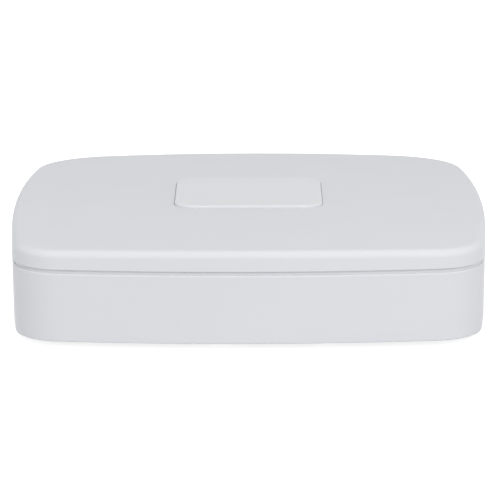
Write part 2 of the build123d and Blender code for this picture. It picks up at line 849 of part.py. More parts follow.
def battery_holder():
    """The square cup that holds the clock battery, open at its front."""
    y = battery_y()
    side = 2 * (battery_radius + holder_wall)
    seat = board_top_z + battery_seat
    top = board_top_z + holder_height + 1
    cup = standing(clock_battery_x, y, board_top_z, (side, side, holder_height))
    cup -= stud(clock_battery_x, y, seat, top, battery_radius + 0.15, round_flat_count)
    return cup - block(clock_battery_x - holder_mouth / 2, clock_battery_x + holder_mouth / 2,
                       y - battery_radius - 2 * holder_wall, y - battery_radius / 2, seat, top)


def clock_battery():
    """The coin cell that keeps the clock running."""
    z = board_top_z + battery_seat
    return stud(clock_battery_x, battery_y(), z, z + battery_thickness, battery_radius, round_flat_count)


def buzzer():
    """The alarm buzzer, a can with a sound hole."""
    x = clock_battery_x + battery_radius + 2 * buzzer_radius + 2
    y = battery_y() - 4.0
    radius, depth = buzzer_hole
    top = board_top_z + buzzer_height
    can = stud(x, y, board_top_z, top, buzzer_radius, boss_flat_count)
    return can - stud(x, y, top - depth, top + 1, radius)


def connector_middles():
    """Middles along Y of the drive's power and data sockets."""
    data_y = drive_rear_y - drive_connector_inset - data_plug[1] / 2
    return data_y - (power_plug[1] + data_plug[1]) / 2 - 3 * plug_gap, data_y


def plug_nose(x0, x1, y, z, width, grow=0.0):
    """The part of a plug, or of its socket, that lies inside the other."""
    half = width / 2 - nose_margin + grow
    return block(x0, x1, y - half, y + half, z - nose_height / 2 - grow, z + nose_height / 2 + grow)


def socket_mouth(edge, y, z, width):
    """The mouth that is cut into a socket which faces +X at edge."""
    return plug_nose(edge - connector_depth + 1, edge + 1, y, z, width, connector_gap)


def plug(edge, y, depth, width, z0, z1, nose_z):
    """A plug that is pushed home along X into a socket whose face is at edge."""
    body = block(edge + plug_gap, edge + plug_gap + depth, y - width / 2, y + width / 2, z0, z1)
    return body + plug_nose(edge - connector_depth + 1 + plug_gap, edge + 1, y, nose_z, width)


def drive_socket_z():
    """Height of the drive's sockets."""
    return drive_z + plug_gap + drive_connector_height / 2


def header_z():
    """Height of the board's two sockets."""
    return board_top_z + header_height / 2


def drive_connector():
    """The plastic socket block at the end of the drive, under its floor."""
    power_y, data_y = connector_middles()
    end = drive_length / 2
    z = drive_socket_z()
    body = block(end - drive_connector_depth, end, power_y - power_plug[1] / 2, data_y + data_plug[1] / 2,
                 z - drive_connector_height / 2, z + drive_connector_height / 2)
    return body - socket_mouth(end, power_y, z, power_plug[1]) - socket_mouth(end, data_y, z, data_plug[1])


def header(y):
    """A socket on the edge of the board, which faces the side bay."""
    end = board_width / 2
    half = header_plug_width / 2 + 0.6
    body = block(end - connector_depth - 1, end, y - half, y + half, board_top_z, board_top_z + header_height)
    return body - socket_mouth(end, y, header_z(), header_plug_width)


def data_header():
    """The board's data socket."""
    return header(board_front_y + data_header_y)


def power_header():
    """The board's power socket for the drive."""
    return header(board_front_y + power_header_y)


def header_plug(y):
    """A plug in one of the board's sockets."""
    z0 = board_top_z - header_drop
    return plug(board_width / 2, y, data_plug[0], header_plug_width, z0, z0 + header_plug_height, header_z())


def data_plugs():
    """The two plugs of the data lead: one in the drive, one in its header."""
    _, data_y = connector_middles()
    drive_end = plug(drive_length / 2, data_y, *data_plug, drive_z, drive_z + drive_plug_height,
                     drive_socket_z())
    return [drive_end, header_plug(board_front_y + data_header_y)]


def power_plugs():
    """The two plugs of the power lead: one in the drive, one in its header."""
    power_y, _ = connector_middles()
    drive_end = plug(drive_length / 2, power_y, *power_plug, drive_z, drive_z + drive_plug_height,
                     drive_socket_z())
    return [drive_end, header_plug(board_front_y + power_header_y)]


def flat_lead(points, size):
    """A flat lead on edge. Its plan is straight runs, joined by arcs as large as the runs allow."""
    path = [Vector(*p) for p in points]
    radii = []
    for i in range(1, len(path) - 1):
        before = path[i] - path[i - 1]
        after = path[i + 1] - path[i]
        turn = math.radians(before.get_angle(after))
        radii.append(0.45 * min(before.length, after.length) / math.tan(turn / 2))
    line = FilletPolyline(*path, radius=radii)
    thickness, width = size
    band = make_face(Wire(line.edges()).offset_2d(thickness, side=Side.LEFT, closed=True))
    lead = extrude(Pos(0, 0, board_top_z - header_drop + lead_lift) * band, width)
    print("flat lead radii", [round(r, 1) for r in radii], "length", round(line.length, 1),
          "volume over section times length", round(lead.volume / (thickness * width * line.length), 3))
    return lead


def data_lead():
    """The data lead, from the side of the drive's plug to the side of the header's plug."""
    _, data_y = connector_middles()
    x0 = drive_length / 2 + plug_gap + data_plug[0] - lead_end_margin
    x1 = board_width / 2 + plug_gap + data_plug[0] / 2
    y0 = data_y + data_plug[1] / 2
    y1 = board_front_y + data_header_y - header_plug_width / 2
    return flat_lead([(x0, y0), (x0, y0 + lead_exit), (x1, y0 + lead_exit + data_lead_cross), (x1, y1)],
                     data_lead_size)


def power_lead():
    """The power lead: out of the end of the drive's plug, along the bay, into the side of the other."""
    power_y, _ = connector_middles()
    x0 = drive_length / 2 + plug_gap + power_plug[0]
    bay_x = board_width / 2 + lead_bay_gap
    x1 = board_width / 2 + plug_gap + data_plug[0] / 2
    y1 = board_front_y + power_header_y - header_plug_width / 2
    y2 = y1 - power_lead_entry
    return flat_lead([(x0, power_y), (bay_x, power_y), (bay_x, power_y + power_lead_run),
                      (bay_x + power_lead_drift, y2 - power_lead_cross), (x1, y2), (x1, y1)], power_lead_size)


def drive_chassis():
    """The cast tray of the drive: disc well, actuator bay, rails, fixing holes and board recess."""
    half_l = drive_length / 2
    plan = RectangleRounded(drive_length, drive_width, chassis_corner)
    body = extrude(Pos(0, drive_mid_y, drive_z) * plan, chassis_top_z - drive_z)
    body -= rod(spindle_x, drive_mid_y, well_z, drive_top_z, well_radius)
    body -= block(spindle_x + bay_start, bay_end_x, drive_front_y + bay_front_wall,
                  drive_rear_y - bay_rear_wall, well_z, drive_top_z)
    x0, x1, half_w = circuit_sides()
    body -= block(x0 - 4 * circuit_gap, x1 + 2 * circuit_end, drive_mid_y - half_w - circuit_gap,
                  drive_mid_y + half_w + circuit_gap, drive_z - 1, drive_z + chassis_recess)
    body -= connector_space(drive_z - 1, drive_socket_z() + drive_connector_height / 2)
    for x, y in drive_screw_places:
        body -= stud(x, y, drive_z - 1, drive_z + drive_screw_grip + 0.8, drive_screw_radius + screw_clearance)
    z = drive_z + side_hole_height
    for x in (half_l - side_hole_first, half_l - side_hole_first - side_hole_pitch):
        body -= stud_along_y(x, z, drive_front_y - 1, drive_front_y + side_hole_depth, drive_screw_radius)
        body -= stud_along_y(x, z, drive_rear_y - side_hole_depth, drive_rear_y + 1, drive_screw_radius)
    return body


def circuit_sides():
    """The ends of the drive's circuit board along X, and half its width."""
    x1 = drive_length / 2 - circuit_end
    return x1 - circuit_length, x1, drive_width / 2 - circuit_margin


def connector_space(z0, z1):
    """The space that the drive's socket block takes out of its end."""
    power_y, data_y = connector_middles()
    return block(drive_length / 2 - drive_connector_depth - chassis_clearance, drive_length / 2 + 1,
                 power_y - power_plug[1] / 2 - chassis_clearance, data_y + data_plug[1] / 2 + chassis_clearance,
                 z0, z1)


def drive_lid():
    """The pressed lid of the drive, with its raised middle."""
    plan = RectangleRounded(drive_length, drive_width, chassis_corner)
    lid = extrude(Pos(0, drive_mid_y, chassis_top_z) * plan, lid_thickness)
    raised = RectangleRounded(drive_length - 2 * lid_margin_x, drive_width - 2 * lid_margin_y, lid_corner)
    return lid + extrude(Pos(0, drive_mid_y, chassis_top_z + lid_thickness) * raised, lid_emboss)


def drive_label():
    """The blank foil label on the drive's lid."""
    size = (drive_length - 2 * label_margin_x, drive_width - 2 * label_margin_y, label_thickness)
    return standing(label_shift, drive_mid_y, drive_top_z, size)


def drive_circuit_board():
    """The drive's own circuit board, in the recess under the chassis."""
    x0, x1, half_w = circuit_sides()
    top = drive_z + chassis_recess
    board = block(x0, x1, drive_mid_y - half_w, drive_mid_y + half_w, top - circuit_thickness, top)
    return board - connector_space(drive_z, top + 1)


def drive_shafts():
    """The fixed shafts that the hub and the arms turn on, which reach from floor to lid."""
    return [stud(spindle_x, drive_mid_y, well_z, chassis_top_z, spindle_radius, boss_flat_count),
            stud(pivot_x, pivot_y, well_z, chassis_top_z, pivot_radius, boss_flat_count)]


def bore_over(radius):
    """The radius of a bore with flats that turns freely on a shaft with flats."""
    return (radius + hub_bore_clearance) / math.cos(math.pi / boss_flat_count)


def spindle_hub():
    """The motor's hub, which carries the platter on its flange and turns on its shaft."""
    foot_z = well_z + bearing_gap
    hub = stud(spindle_x, drive_mid_y, foot_z, clamp_z, hub_radius, round_flat_count)
    hub += stud(spindle_x, drive_mid_y, foot_z, platter_z, hub_radius + hub_flange, round_flat_count)
    return hub - stud(spindle_x, drive_mid_y, well_z, clamp_z + 1, bore_over(spindle_radius), boss_flat_count)


def platter():
    """The recording disc."""
    disc = stud(spindle_x, drive_mid_y, platter_z, clamp_z, platter_radius, disc_flat_count)
    return disc - stud(spindle_x, drive_mid_y, platter_z - 1, clamp_z + 1, hub_radius, round_flat_count)


def platter_clamp():
    """The ring that clamps the platter to the hub."""
    clamp = stud(spindle_x, drive_mid_y, clamp_z, clamp_z + clamp_thickness, clamp_radius, round_flat_count)
    return clamp - stud(spindle_x, drive_mid_y, clamp_z - 1, clamp_z + 2, spindle_radius + 1.5, boss_flat_count)


def arm_levels():
    """Undersides of the two arms: under and over the platter, each with room for its slider."""
    reach = head_gap + slider_height
    return [platter_z - reach - arm_thickness, clamp_z + reach]


def coil_z():
    """Underside of the voice coil, level with the platter."""
    return (platter_z + clamp_z - coil_thickness) / 2


def parked(shape):
    """Turns a shape drawn along +X from the pivot's axis to where the arms are parked."""
    return Pos(pivot_x, pivot_y, 0) * Rot(0, 0, parked_angle()) * shape


def actuator_arms():
    """The head carrier: a hub on the pivot, two tapered arms with their sliders and lift tabs."""
    low, high = arm_levels()
    top = high + arm_thickness
    carrier = stud(0, 0, low, top, pivot_radius + arm_hub_wall, round_flat_count)
    root = arm_root_width / 2
    tip = arm_tip_width / 2
    waist = (root + tip) * 0.42
    middle = arm_length * 0.55
    plan = make_face(Polyline((0, -root), (middle, -waist), (arm_length, -tip), (arm_length, tip),
                              (middle, waist), (0, root), close=True))
    plan -= Pos(arm_length * 0.4, 0) * RegularPolygon(2.2, small_flat_count)
    for z, slider_z in ((low, low + arm_thickness), (high, high - slider_height)):
        carrier += extrude(Pos(0, 0, z) * plan, arm_thickness)
        carrier += block(arm_length - 1, arm_length + tab_length, -0.6, 0.6, z + 0.2, z + arm_thickness - 0.2)
        carrier += block(arm_length - 2.5, arm_length - 0.5, -0.9, 0.9, slider_z, slider_z + slider_height)
    carrier += block(-coil_inner - 2, 0, -3.5, 3.5, coil_z(), coil_z() + coil_thickness)
    carrier -= sector(coil_inner, coil_outer, coil_half_angle, coil_z() - 1, coil_thickness + 2)
    carrier -= stud(0, 0, low - 1, top + 1, bore_over(pivot_radius), boss_flat_count)
    return parked(carrier)


def sector(inner, outer, half_angle, z, thickness):
    """A flat ring sector behind the pivot, symmetric about -X."""
    start = 180 - half_angle
    arc_out = CenterArc((0, 0), outer, start, 2 * half_angle)
    arc_in = CenterArc((0, 0), inner, start, 2 * half_angle)
    plan = make_face([arc_out, Line(arc_out @ 1, arc_in @ 1), arc_in, Line(arc_in @ 0, arc_out @ 0)])
    return extrude(Pos(0, 0, z) * plan, thickness)


def voice_coil():
    """The wound coil behind the pivot, open in its middle."""
    coil = sector(coil_inner, coil_outer, coil_half_angle, coil_z(), coil_thickness)
    return parked(coil - sector(coil_inner + 3, coil_outer - 3, coil_half_angle - 8, coil_z() - 1,
                                coil_thickness + 2))


def magnet_yoke():
    """The C-shaped magnet yoke, over, under and behind the coil for the whole of its swing."""
    reach = arm_swing / 2 + coil_half_angle + 2
    gap_z = coil_z() - yoke_gap
    gap_top = coil_z() + coil_thickness + yoke_gap
    wall_in = coil_outer + yoke_wall_gap
    yoke = sector(coil_inner + 1, wall_in + yoke_wall, reach, well_z, gap_top + yoke_thickness - well_z)
    yoke -= sector(coil_inner, wall_in, reach + 5, gap_z, gap_top - gap_z)
    return parked(Rot(0, 0, arm_swing / 2) * yoke)


def parking_ramp():
    """The comb beside the platter that holds the arms' lift tabs while the drive is off."""
    levels = arm_levels()
    start = arm_length + 1.2
    comb = block(start, start + 9.0, -4.0, 2.0, well_z, levels[1] + arm_thickness + 1.2)
    for z in levels:
        comb -= block(start - 1, arm_length + tab_length + 0.4, -1.2, 5.0, z - 0.2, z + arm_thickness + 0.2)
    return parked(comb)


def write_parts(makers):
    """Builds every sub-part and writes one STEP file for each, named after its function."""
    os.makedirs("parts", exist_ok=True)
    for make in makers:
        shape = make()
        pieces = shape if isinstance(shape, list) else [shape]
        whole = Compound([solid for piece in pieces for solid in piece.solids()])
        export_step(whole, f"parts/{make.__name__}.step")


write_parts([
    top_cover, bottom_case, name_plate, rubber_feet, cover_screws,
    rear_panel, ground_screw, power_jack, power_jack_pin, vga_shell, vga_insert, vga_jackscrews,
    hdmi_shell, hdmi_tongue, lan_port, lan_contacts, usb_shell, usb_tongues,
    mainboard, mainboard_screws, processor, thermal_pad, heatsink, heatsink_pins, memory_chips,
    network_transformer, power_inductors, capacitors, surface_parts, battery_holder, clock_battery,
    buzzer, data_header, power_header, data_plugs, power_plugs, data_lead, power_lead,
    drive_screws, drive_connector, drive_chassis, drive_lid, drive_label, drive_circuit_board,
    drive_shafts, spindle_hub, platter, platter_clamp, actuator_arms, voice_coil, magnet_yoke,
    parking_ramp,
])
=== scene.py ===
"""Looks of a network video recorder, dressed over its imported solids.

Shapes are worked out in millimetres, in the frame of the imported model: +Z up, the front
faces -Y. They are scaled to metres as they become meshes.
"""
import json
import math
import random

import bmesh
import bpy
from mathutils import Matrix, Vector


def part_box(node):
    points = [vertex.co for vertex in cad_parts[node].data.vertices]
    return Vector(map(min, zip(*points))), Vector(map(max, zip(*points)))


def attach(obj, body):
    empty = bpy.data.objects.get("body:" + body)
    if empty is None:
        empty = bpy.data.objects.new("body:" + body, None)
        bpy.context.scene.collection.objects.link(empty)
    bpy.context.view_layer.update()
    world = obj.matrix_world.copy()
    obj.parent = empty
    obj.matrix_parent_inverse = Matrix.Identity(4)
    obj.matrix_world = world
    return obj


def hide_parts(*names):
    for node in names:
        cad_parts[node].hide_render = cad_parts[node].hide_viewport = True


MM = 0.001
TO_REAR = -math.pi / 2
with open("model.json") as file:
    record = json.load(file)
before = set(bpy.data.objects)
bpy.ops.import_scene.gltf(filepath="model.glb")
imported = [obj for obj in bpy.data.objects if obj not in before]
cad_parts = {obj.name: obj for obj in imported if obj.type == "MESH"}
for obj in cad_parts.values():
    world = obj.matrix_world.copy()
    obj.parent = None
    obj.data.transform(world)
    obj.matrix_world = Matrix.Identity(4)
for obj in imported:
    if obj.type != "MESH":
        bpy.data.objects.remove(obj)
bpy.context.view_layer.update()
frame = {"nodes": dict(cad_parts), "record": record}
SLOTS = {part["node"]: part["material_slot"] for part in frame["record"]["subparts"]}
BODY = {node: body for body, nodes in frame["record"]["behaviour"]["bodies"].items() for node in nodes}


def node_box(node):
    """Lowest and highest corner of a solid, in millimetres."""
    low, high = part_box(node)
    return low / MM, high / MM


# Case, with the same driving sizes as its solids, but for the plate's softer edge
case_low, case_high = node_box("bottom_case")
cover_high = node_box("top_cover")[1]
plate_low, plate_high = node_box("name_plate")
half_width = cover_high.x
half_depth = cover_high.y
floor_z = case_low.z
lip_top_z = case_high.z
crown_z = cover_high.z
side_height = 29.0
seam_gap = 1.2
shoulder_z = floor_z + side_height
cover_z = shoulder_z + seam_gap
wall = 2.5
inside_z = floor_z + wall
front_bow = 6.7
rear_bow = 7.1
side_bow = 7.4
front_corner_radius = 22.0
rear_corner_radius = 35.3
crown_across = 1.6
crown_along = 3.18
base_draft = math.tan(math.radians(0.7))
cover_draft = math.tan(math.radians(1.5))
rim_radius = 3.2
shoulder_round = 0.9
foot_round = 0.4
edge_round = 0.5
lip_inset = 1.3
rebate_inset = 1.0
inner_inset = wall + (shoulder_z - floor_z) * base_draft
plate_corner = 9.0
plate_round = 0.85
plate_clearance = 0.12
panel_inner_y = node_box("rear_panel")[0].y
panel_outer_y = node_box("rear_panel")[1].y
panel_half_window = 80.0
rib_x = 50.0
rib_reach = 65.0
rib_half = 0.6
vents_in_row = 8
vent_pitch = 9.0
vent_width = 3.0
vent_reach = 17.0
board_low, board_high = node_box("mainboard")
board_top_z = board_high.z
drive_low, drive_high = node_box("drive_chassis")
drive_mid_y = (drive_low.y + drive_high.y) / 2

# Tops of the posts on the floor, seats of the screws' heads, and the screws' places on plan
boss_top_z = 30.3
standoff_top_z = 10.0
pad_top_z = 8.0
cover_screw_seat_z = 17.0
drive_screw_seat_z = 4.6
hole_from_end = 41.28
hole_pitch = 44.45
hole_reach = 47.625
COVER_SCREWS = [(x, y) for x in (-89.0, 89.0) for y in (-79.1, 76.0)]
STANDOFFS = [(x, y) for x in (-77.0, 77.0) for y in (20.0, 81.0)]
DRIVE_SCREWS = [(drive_high.x - hole_from_end - i * hole_pitch, drive_mid_y + s * hole_reach)
                for i in (0, 1) for s in (-1, 1)]

ARC_STEPS_SIDE = 40
ARC_STEPS_CORNER = 22
SCATTER_TRIES = 5000

# Strength of the floor's own light, and of the surround's behind the case, in front and lost overhead
FLOOR_GLOW = 0.80
BEHIND = 0.30
IN_FRONT = 1.20
OVERHEAD_LOSS = 0.70

# Width of the rounded edges of solids that keep their form, by the number of steps round an edge
ROUNDED = {
    2: {"rear_panel": 0.12, "vga_jackscrews": 0.22, "hdmi_shell": 0.1, "hdmi_tongue": 0.12,
        "lan_port": 0.18, "lan_contacts": 0.05, "usb_shell": 0.2, "usb_tongues": 0.12, "mainboard": 0.08,
        "processor": 0.12, "thermal_pad": 0.1, "memory_chips": 0.1, "network_transformer": 0.3,
        "surface_parts": 0.08, "data_header": 0.25, "power_header": 0.25, "drive_circuit_board": 0.05,
        "drive_connector": 0.15, "actuator_arms": 0.12, "parking_ramp": 0.2},
    3: {"vga_shell": 0.15, "battery_holder": 0.25, "data_plugs": 0.45, "power_plugs": 0.45,
        "data_lead": 0.35, "drive_lid": 0.35, "voice_coil": 0.3, "magnet_yoke": 0.3},
}


def solids_of(node):
    """Lowest and highest corner of each separate solid of a node, in millimetres, from left to right."""
    bm = bmesh.new()
    bm.from_mesh(frame["nodes"][node].data)
    bmesh.ops.remove_doubles(bm, verts=bm.verts, dist=0.001 * MM)
    left = set(bm.verts)
    found = []
    while left:
        waiting = [left.pop()]
        group = []
        while waiting:
            v = waiting.pop()
            group.append(v.co / MM)
            for edge in v.link_edges:
                other = edge.other_vert(v)
                if other in left:
                    left.remove(other)
                    waiting.append(other)
        low, high = (Vector([pick(c[i] for c in group) for i in range(3)]) for pick in (min, max))
        found.append((low, high))
    bm.free()
    return sorted(found, key=lambda pair: tuple(round(c, 2) for c in pair[0]))


def middle_of(low, high):
    """The middle of a box on plan."""
    return (low.x + high.x) / 2, (low.y + high.y) / 2


def circle_through(a, b, bow):
    """Centre and radius of the arc from a to b that bows to the right of the way between them."""
    chord = (b - a).length
    outward = Vector((b.y - a.y, a.x - b.x)).normalized()
    radius = (chord * chord / 4 + bow * bow) / (2 * bow)
    return (a + b) / 2 + outward * (bow - radius), radius


def circle_inside(first, second, radius, corner):
    """Centre of the circle of a given radius that touches two others from inside, near a corner."""
    (c1, r1), (c2, r2) = first, second
    d1 = r1 - radius
    d2 = r2 - radius
    gap = (c2 - c1).length
    along = (d1 * d1 - d2 * d2 + gap * gap) / (2 * gap)
    across = math.sqrt(d1 * d1 - along * along)
    unit = (c2 - c1) / gap
    side = Vector((-unit.y, unit.x))
    return min((c1 + unit * along + side * s * across for s in (-1, 1)), key=lambda p: (p - corner).length)


def case_plan():
    """Points round the case with the outward direction at each, anticlockwise from the front."""
    cx = half_width - side_bow
    front = -half_depth + front_bow
    rear = half_depth - rear_bow
    corners = [Vector(p) for p in ((-cx, front), (cx, front), (cx, rear), (-cx, rear))]
    bows = (front_bow, side_bow, rear_bow, side_bow)
    radii = (front_corner_radius, front_corner_radius, rear_corner_radius, rear_corner_radius)
    sides = [circle_through(corners[i], corners[(i + 1) % 4], bows[i]) for i in range(4)]
    fillets = [(circle_inside(sides[i - 1], sides[i], radii[i], corners[i]), radii[i]) for i in range(4)]
    points = []

    def sweep(centre, radius, start, end, steps):
        a0 = math.atan2(start.y - centre.y, start.x - centre.x)
        a1 = math.atan2(end.y - centre.y, end.x - centre.x)
        if a1 < a0:
            a1 += 2 * math.pi
        for k in range(steps):
            a = a0 + (a1 - a0) * k / steps
            out = Vector((math.cos(a), math.sin(a)))
            points.append((centre + out * radius, out))

    def touch(side, fillet):
        return side[0] + (fillet[0] - side[0]).normalized() * side[1]

    for i in range(4):
        leave = touch(sides[i], fillets[i])
        reach = touch(sides[i], fillets[(i + 1) % 4])
        sweep(*sides[i], leave, reach, ARC_STEPS_SIDE)
        following = sides[(i + 1) % 4]
        sweep(*fillets[(i + 1) % 4], reach, touch(following, fillets[(i + 1) % 4]), ARC_STEPS_CORNER)
    return points


PLAN = case_plan()


def roof(x, y, drop=0.0):
    """Height of the crowned roof, or of a face that lies a drop below it."""
    return crown_z - drop - crown_across * (x / half_width) ** 2 - crown_along * (y / half_depth) ** 2


def laid(x, y, height):
    """A point on plan at a height, or on a surface that gives its height."""
    return Vector((x, y, height(x, y) if callable(height) else height))


def plan_ring(inset, height):
    """The plan moved inwards, at a height or on a surface."""
    return [laid(*(point - out * inset), height) for point, out in PLAN]


def shrunk(ring, share, height):
    """A ring drawn in towards the middle of the case."""
    return [laid(p.x * share, p.y * share, height) for p in ring]


def plate_ring(grow, height):
    """The name plate's rounded outline, met along the same directions as the plan's points."""
    middle = ((plate_low + plate_high) / 2).xy
    half = ((plate_high - plate_low) / 2).xy + Vector((grow, grow))
    radius = plate_corner + grow
    ring = []
    for point, _ in PLAN:
        way = (point - middle).normalized()
        near, far = 0.0, half.length
        for _ in range(40):
            reach = (near + far) / 2
            p = way * reach
            dx = max(abs(p.x) - half.x + radius, 0.0)
            dy = max(abs(p.y) - half.y + radius, 0.0)
            inside = math.hypot(dx, dy) <= radius
            near, far = (reach, far) if inside else (near, reach)
        ring.append(laid(*(middle + way * near), height))
    return ring


def between(first, second, share, height):
    """A ring part of the way from one ring to another, laid on a surface."""
    return [laid(*a.lerp(b, share).xy, height) for a, b in zip(first, second)]


def quarter(steps):
    """Shares of a quarter circle: how far in and how far up, from its side to its top."""
    angles = [math.pi / 2 * k / steps for k in range(steps + 1)]
    return [(1 - math.cos(a), math.sin(a)) for a in angles]


def skin(rings, first_middle, last_middle):
    """A closed mesh through rings, shut at each end with a fan about a point."""
    bm = bmesh.new()
    rows = [[bm.verts.new(p) for p in ring] for ring in rings]
    count = len(rings[0])
    for low, high in zip(rows, rows[1:]):
        for i in range(count):
            j = (i + 1) % count
            bm.faces.new((low[i], low[j], high[j], high[i]))
    for row, middle in ((rows[0], first_middle), (rows[-1], last_middle)):
        tip = bm.verts.new(middle)
        for i in range(count):
            bm.faces.new((row[i], row[(i + 1) % count], tip))
    return bm


def add_box(bm, low, high):
    """A box between two corners."""
    size = Vector(high) - Vector(low)
    made = bmesh.ops.create_cube(bm, size=1.0)["verts"]
    bmesh.ops.scale(bm, vec=size, verts=made)
    moved(bm, made, (Vector(high) + Vector(low)) / 2)


def add_block(bm, x, y, half_x, half_y, z0, z1):
    """A box about a middle on plan."""
    add_box(bm, (x - half_x, y - half_y, z0), (x + half_x, y + half_y, z1))


def add_form(bm, first, second):
    """A closed form between two rings of as many points."""
    rows = [[bm.verts.new(p) for p in ring] for ring in (first, second)]
    for i in range(len(first)):
        j = (i + 1) % len(first)
        bm.faces.new((rows[0][i], rows[0][j], rows[1][j], rows[1][i]))
    bm.faces.new(rows[0][::-1])
    bm.faces.new(rows[1])
    return rows[0] + rows[1]


def add_prism(bm, ring, z0, z1):
    """A closed upright form over a ring of points on plan."""
    add_form(bm, [(x, y, z0) for x, y in ring], [(x, y, z1) for x, y in ring])


def arc(x, y, radius, start, end, steps):
    """Points on plan along an arc between two angles, which are given in quarter turns."""
    angles = [math.pi / 2 * (start + (end - start) * k / steps) for k in range(steps + 1)]
    return [(x + radius * math.cos(a), y + radius * math.sin(a)) for a in angles]


def moved(bm, verts, at, turn=0.0):
    """Turns new points about X, then moves them to their place."""
    if turn:
        bmesh.ops.rotate(bm, verts=verts, cent=(0, 0, 0), matrix=Matrix.Rotation(turn, 3, "X"))
    bmesh.ops.translate(bm, vec=Vector(at), verts=verts)


def add_lathe(bm, profile, at, steps=32, turn=0.0):
    """A turned form from radius and height pairs, foot to top. Its ends are shut unless it is a loop."""
    if profile[0] != profile[-1]:
        ends = [[(0, height)] if radius else [] for radius, height in (profile[0], profile[-1])]
        profile = ends[0] + profile + ends[1]
    rows = []
    for radius, height in profile:
        if radius < 1e-6:
            rows.append([bm.verts.new((0, 0, height))])
        else:
            rows.append([bm.verts.new((radius * math.cos(2 * math.pi * k / steps),
                                       radius * math.sin(2 * math.pi * k / steps), height))
                         for k in range(steps)])
    for low, high in zip(rows, rows[1:]):
        for k in range(steps):
            j = (k + 1) % steps
            corners = [low[k % len(low)], low[j % len(low)], high[j % len(high)], high[k % len(high)]]
            unique = list(dict.fromkeys(corners))
            if len(unique) > 2:
                bm.faces.new(unique)
    moved(bm, [v for row in rows for v in row], at, turn)


def add_lathes(bm, profile, places, steps=32):
    """The same turned form at each of several places on plan."""
    for x, y in places:
        add_lathe(bm, profile, (x, y, 0), steps)


def add_slot(bm, x, y0, y1, z0, z1, width):
    """An upright cutter with round ends, long along Y."""
    radius = width / 2
    add_prism(bm, arc(x, y1 - radius, radius, 0, 2, 8) + arc(x, y0 + radius, radius, 2, 4, 8), z0, z1)


def linked(name, data):
    """A new object in the scene."""
    obj = bpy.data.objects.new(name, data)
    bpy.context.scene.collection.objects.link(obj)
    return obj


def new_object(name, bm):
    """A mesh in millimetres becomes an object in metres."""
    bmesh.ops.recalc_face_normals(bm, faces=bm.faces)
    bmesh.ops.scale(bm, vec=(MM, MM, MM), verts=bm.verts)
    mesh = bpy.data.meshes.new(name)
    bm.to_mesh(mesh)
    bm.free()
    return linked(name, mesh)


def combine(obj, bm, operation):
    """Cuts, joins or trims an object with a closed mesh in millimetres."""
    tool = new_object("tool", bm)
    step = obj.modifiers.new("combine", "BOOLEAN")
    step.operation = operation
    step.solver = "EXACT"
    step.object = tool
    mesh = bpy.data.meshes.new_from_object(obj.evaluated_get(bpy.context.evaluated_depsgraph_get()))
    obj.modifiers.clear()
    obj.data = mesh
    bpy.data.objects.remove(tool)


def dress(obj, material, body="root", edge=0.0, steps=2, sharp=32):
    """Gives a piece its material and body, rounded edges, and smooth shading unless sharp is 0."""
    mesh = obj.data
    mesh.materials.clear()
    mesh.materials.append(material)
    mesh.polygons.foreach_set("use_smooth", [sharp > 0] * len(mesh.polygons))
    mesh.set_sharp_from_angle(angle=math.radians(sharp))
    if edge:
        bevel = obj.modifiers.new("edges", "BEVEL")
        bevel.width = edge * MM
        bevel.segments = steps
        bevel.limit_method = "ANGLE"
        bevel.angle_limit = math.radians(sharp)
    if sharp:
        obj.modifiers.new("normals", "WEIGHTED_NORMAL").keep_sharp = True
    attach(obj, body)


def refined(node, edge, steps=2, sharp=32, cuts=None):
    """A copy of a solid that stands for it, with its edges rounded and cuts made where asked."""
    bm = bmesh.new()
    bm.from_mesh(frame["nodes"][node].data)
    bmesh.ops.remove_doubles(bm, verts=bm.verts, dist=0.001 * MM)
    if edge:
        bmesh.ops.dissolve_limit(bm, angle_limit=math.radians(0.6), verts=bm.verts, edges=bm.edges)
        bmesh.ops.triangulate(bm, faces=[f for f in bm.faces if len(f.verts) > 4], ngon_method="BEAUTY")
    bmesh.ops.scale(bm, vec=(1 / MM,) * 3, verts=bm.verts)
    finished(node, bm, edge, steps, sharp, cuts)


def finished(node, bm, edge=0.0, steps=2, sharp=32, cuts=None):
    """Makes the mesh that stands for a node, cut where asked, with its look and body."""
    obj = new_object(node + "_dressed", bm)
    if cuts:
        combine(obj, cuts, "DIFFERENCE")
    stand_in(obj, node, edge, steps, sharp)


def stand_in(obj, node, edge=0.0, steps=2, sharp=32):
    """Gives an object a node's look and body, and hides the node so the object takes its place."""
    dress(obj, LOOKS[SLOTS[node]], BODY[node], edge, steps, sharp)
    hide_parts(node)


def turned(node, profile, at, steps, turn=0.0, cuts=None):
    """Makes one turned form that stands for a node. It has a bore where its profile is a closed loop."""
    bm = bmesh.new()
    add_lathe(bm, profile, at, steps, turn)
    bmesh.ops.remove_doubles(bm, verts=bm.verts, dist=0.001)
    finished(node, bm, cuts=cuts)


def added(name, bm, material, edge=0.0, steps=2, sharp=32, cuts=None):
    """A small fixed piece that only the picture has."""
    obj = new_object(name, bm)
    if cuts:
        combine(obj, cuts, "DIFFERENCE")
    dress(obj, material, "root", edge, steps, sharp)


def fill(tree, node, values):
    """Sets a node's inputs, each to a value or from another node's output."""
    for name, value in values.items():
        if isinstance(value, bpy.types.NodeSocket):
            tree.links.new(value, node.inputs[name])
        else:
            node.inputs[name].default_value = value


def shader_node(tree, kind, values, output=0):
    """One output of a new shader node with its inputs filled."""
    made = tree.nodes.new("ShaderNode" + kind)
    fill(tree, made, values)
    return made.outputs[output]


def calculated(tree, operation, *values):
    """One step of arithmetic on numbers and sockets."""
    made = tree.nodes.new("ShaderNodeMath")
    made.operation = operation
    fill(tree, made, dict(enumerate(values)))
    return made.outputs[0]


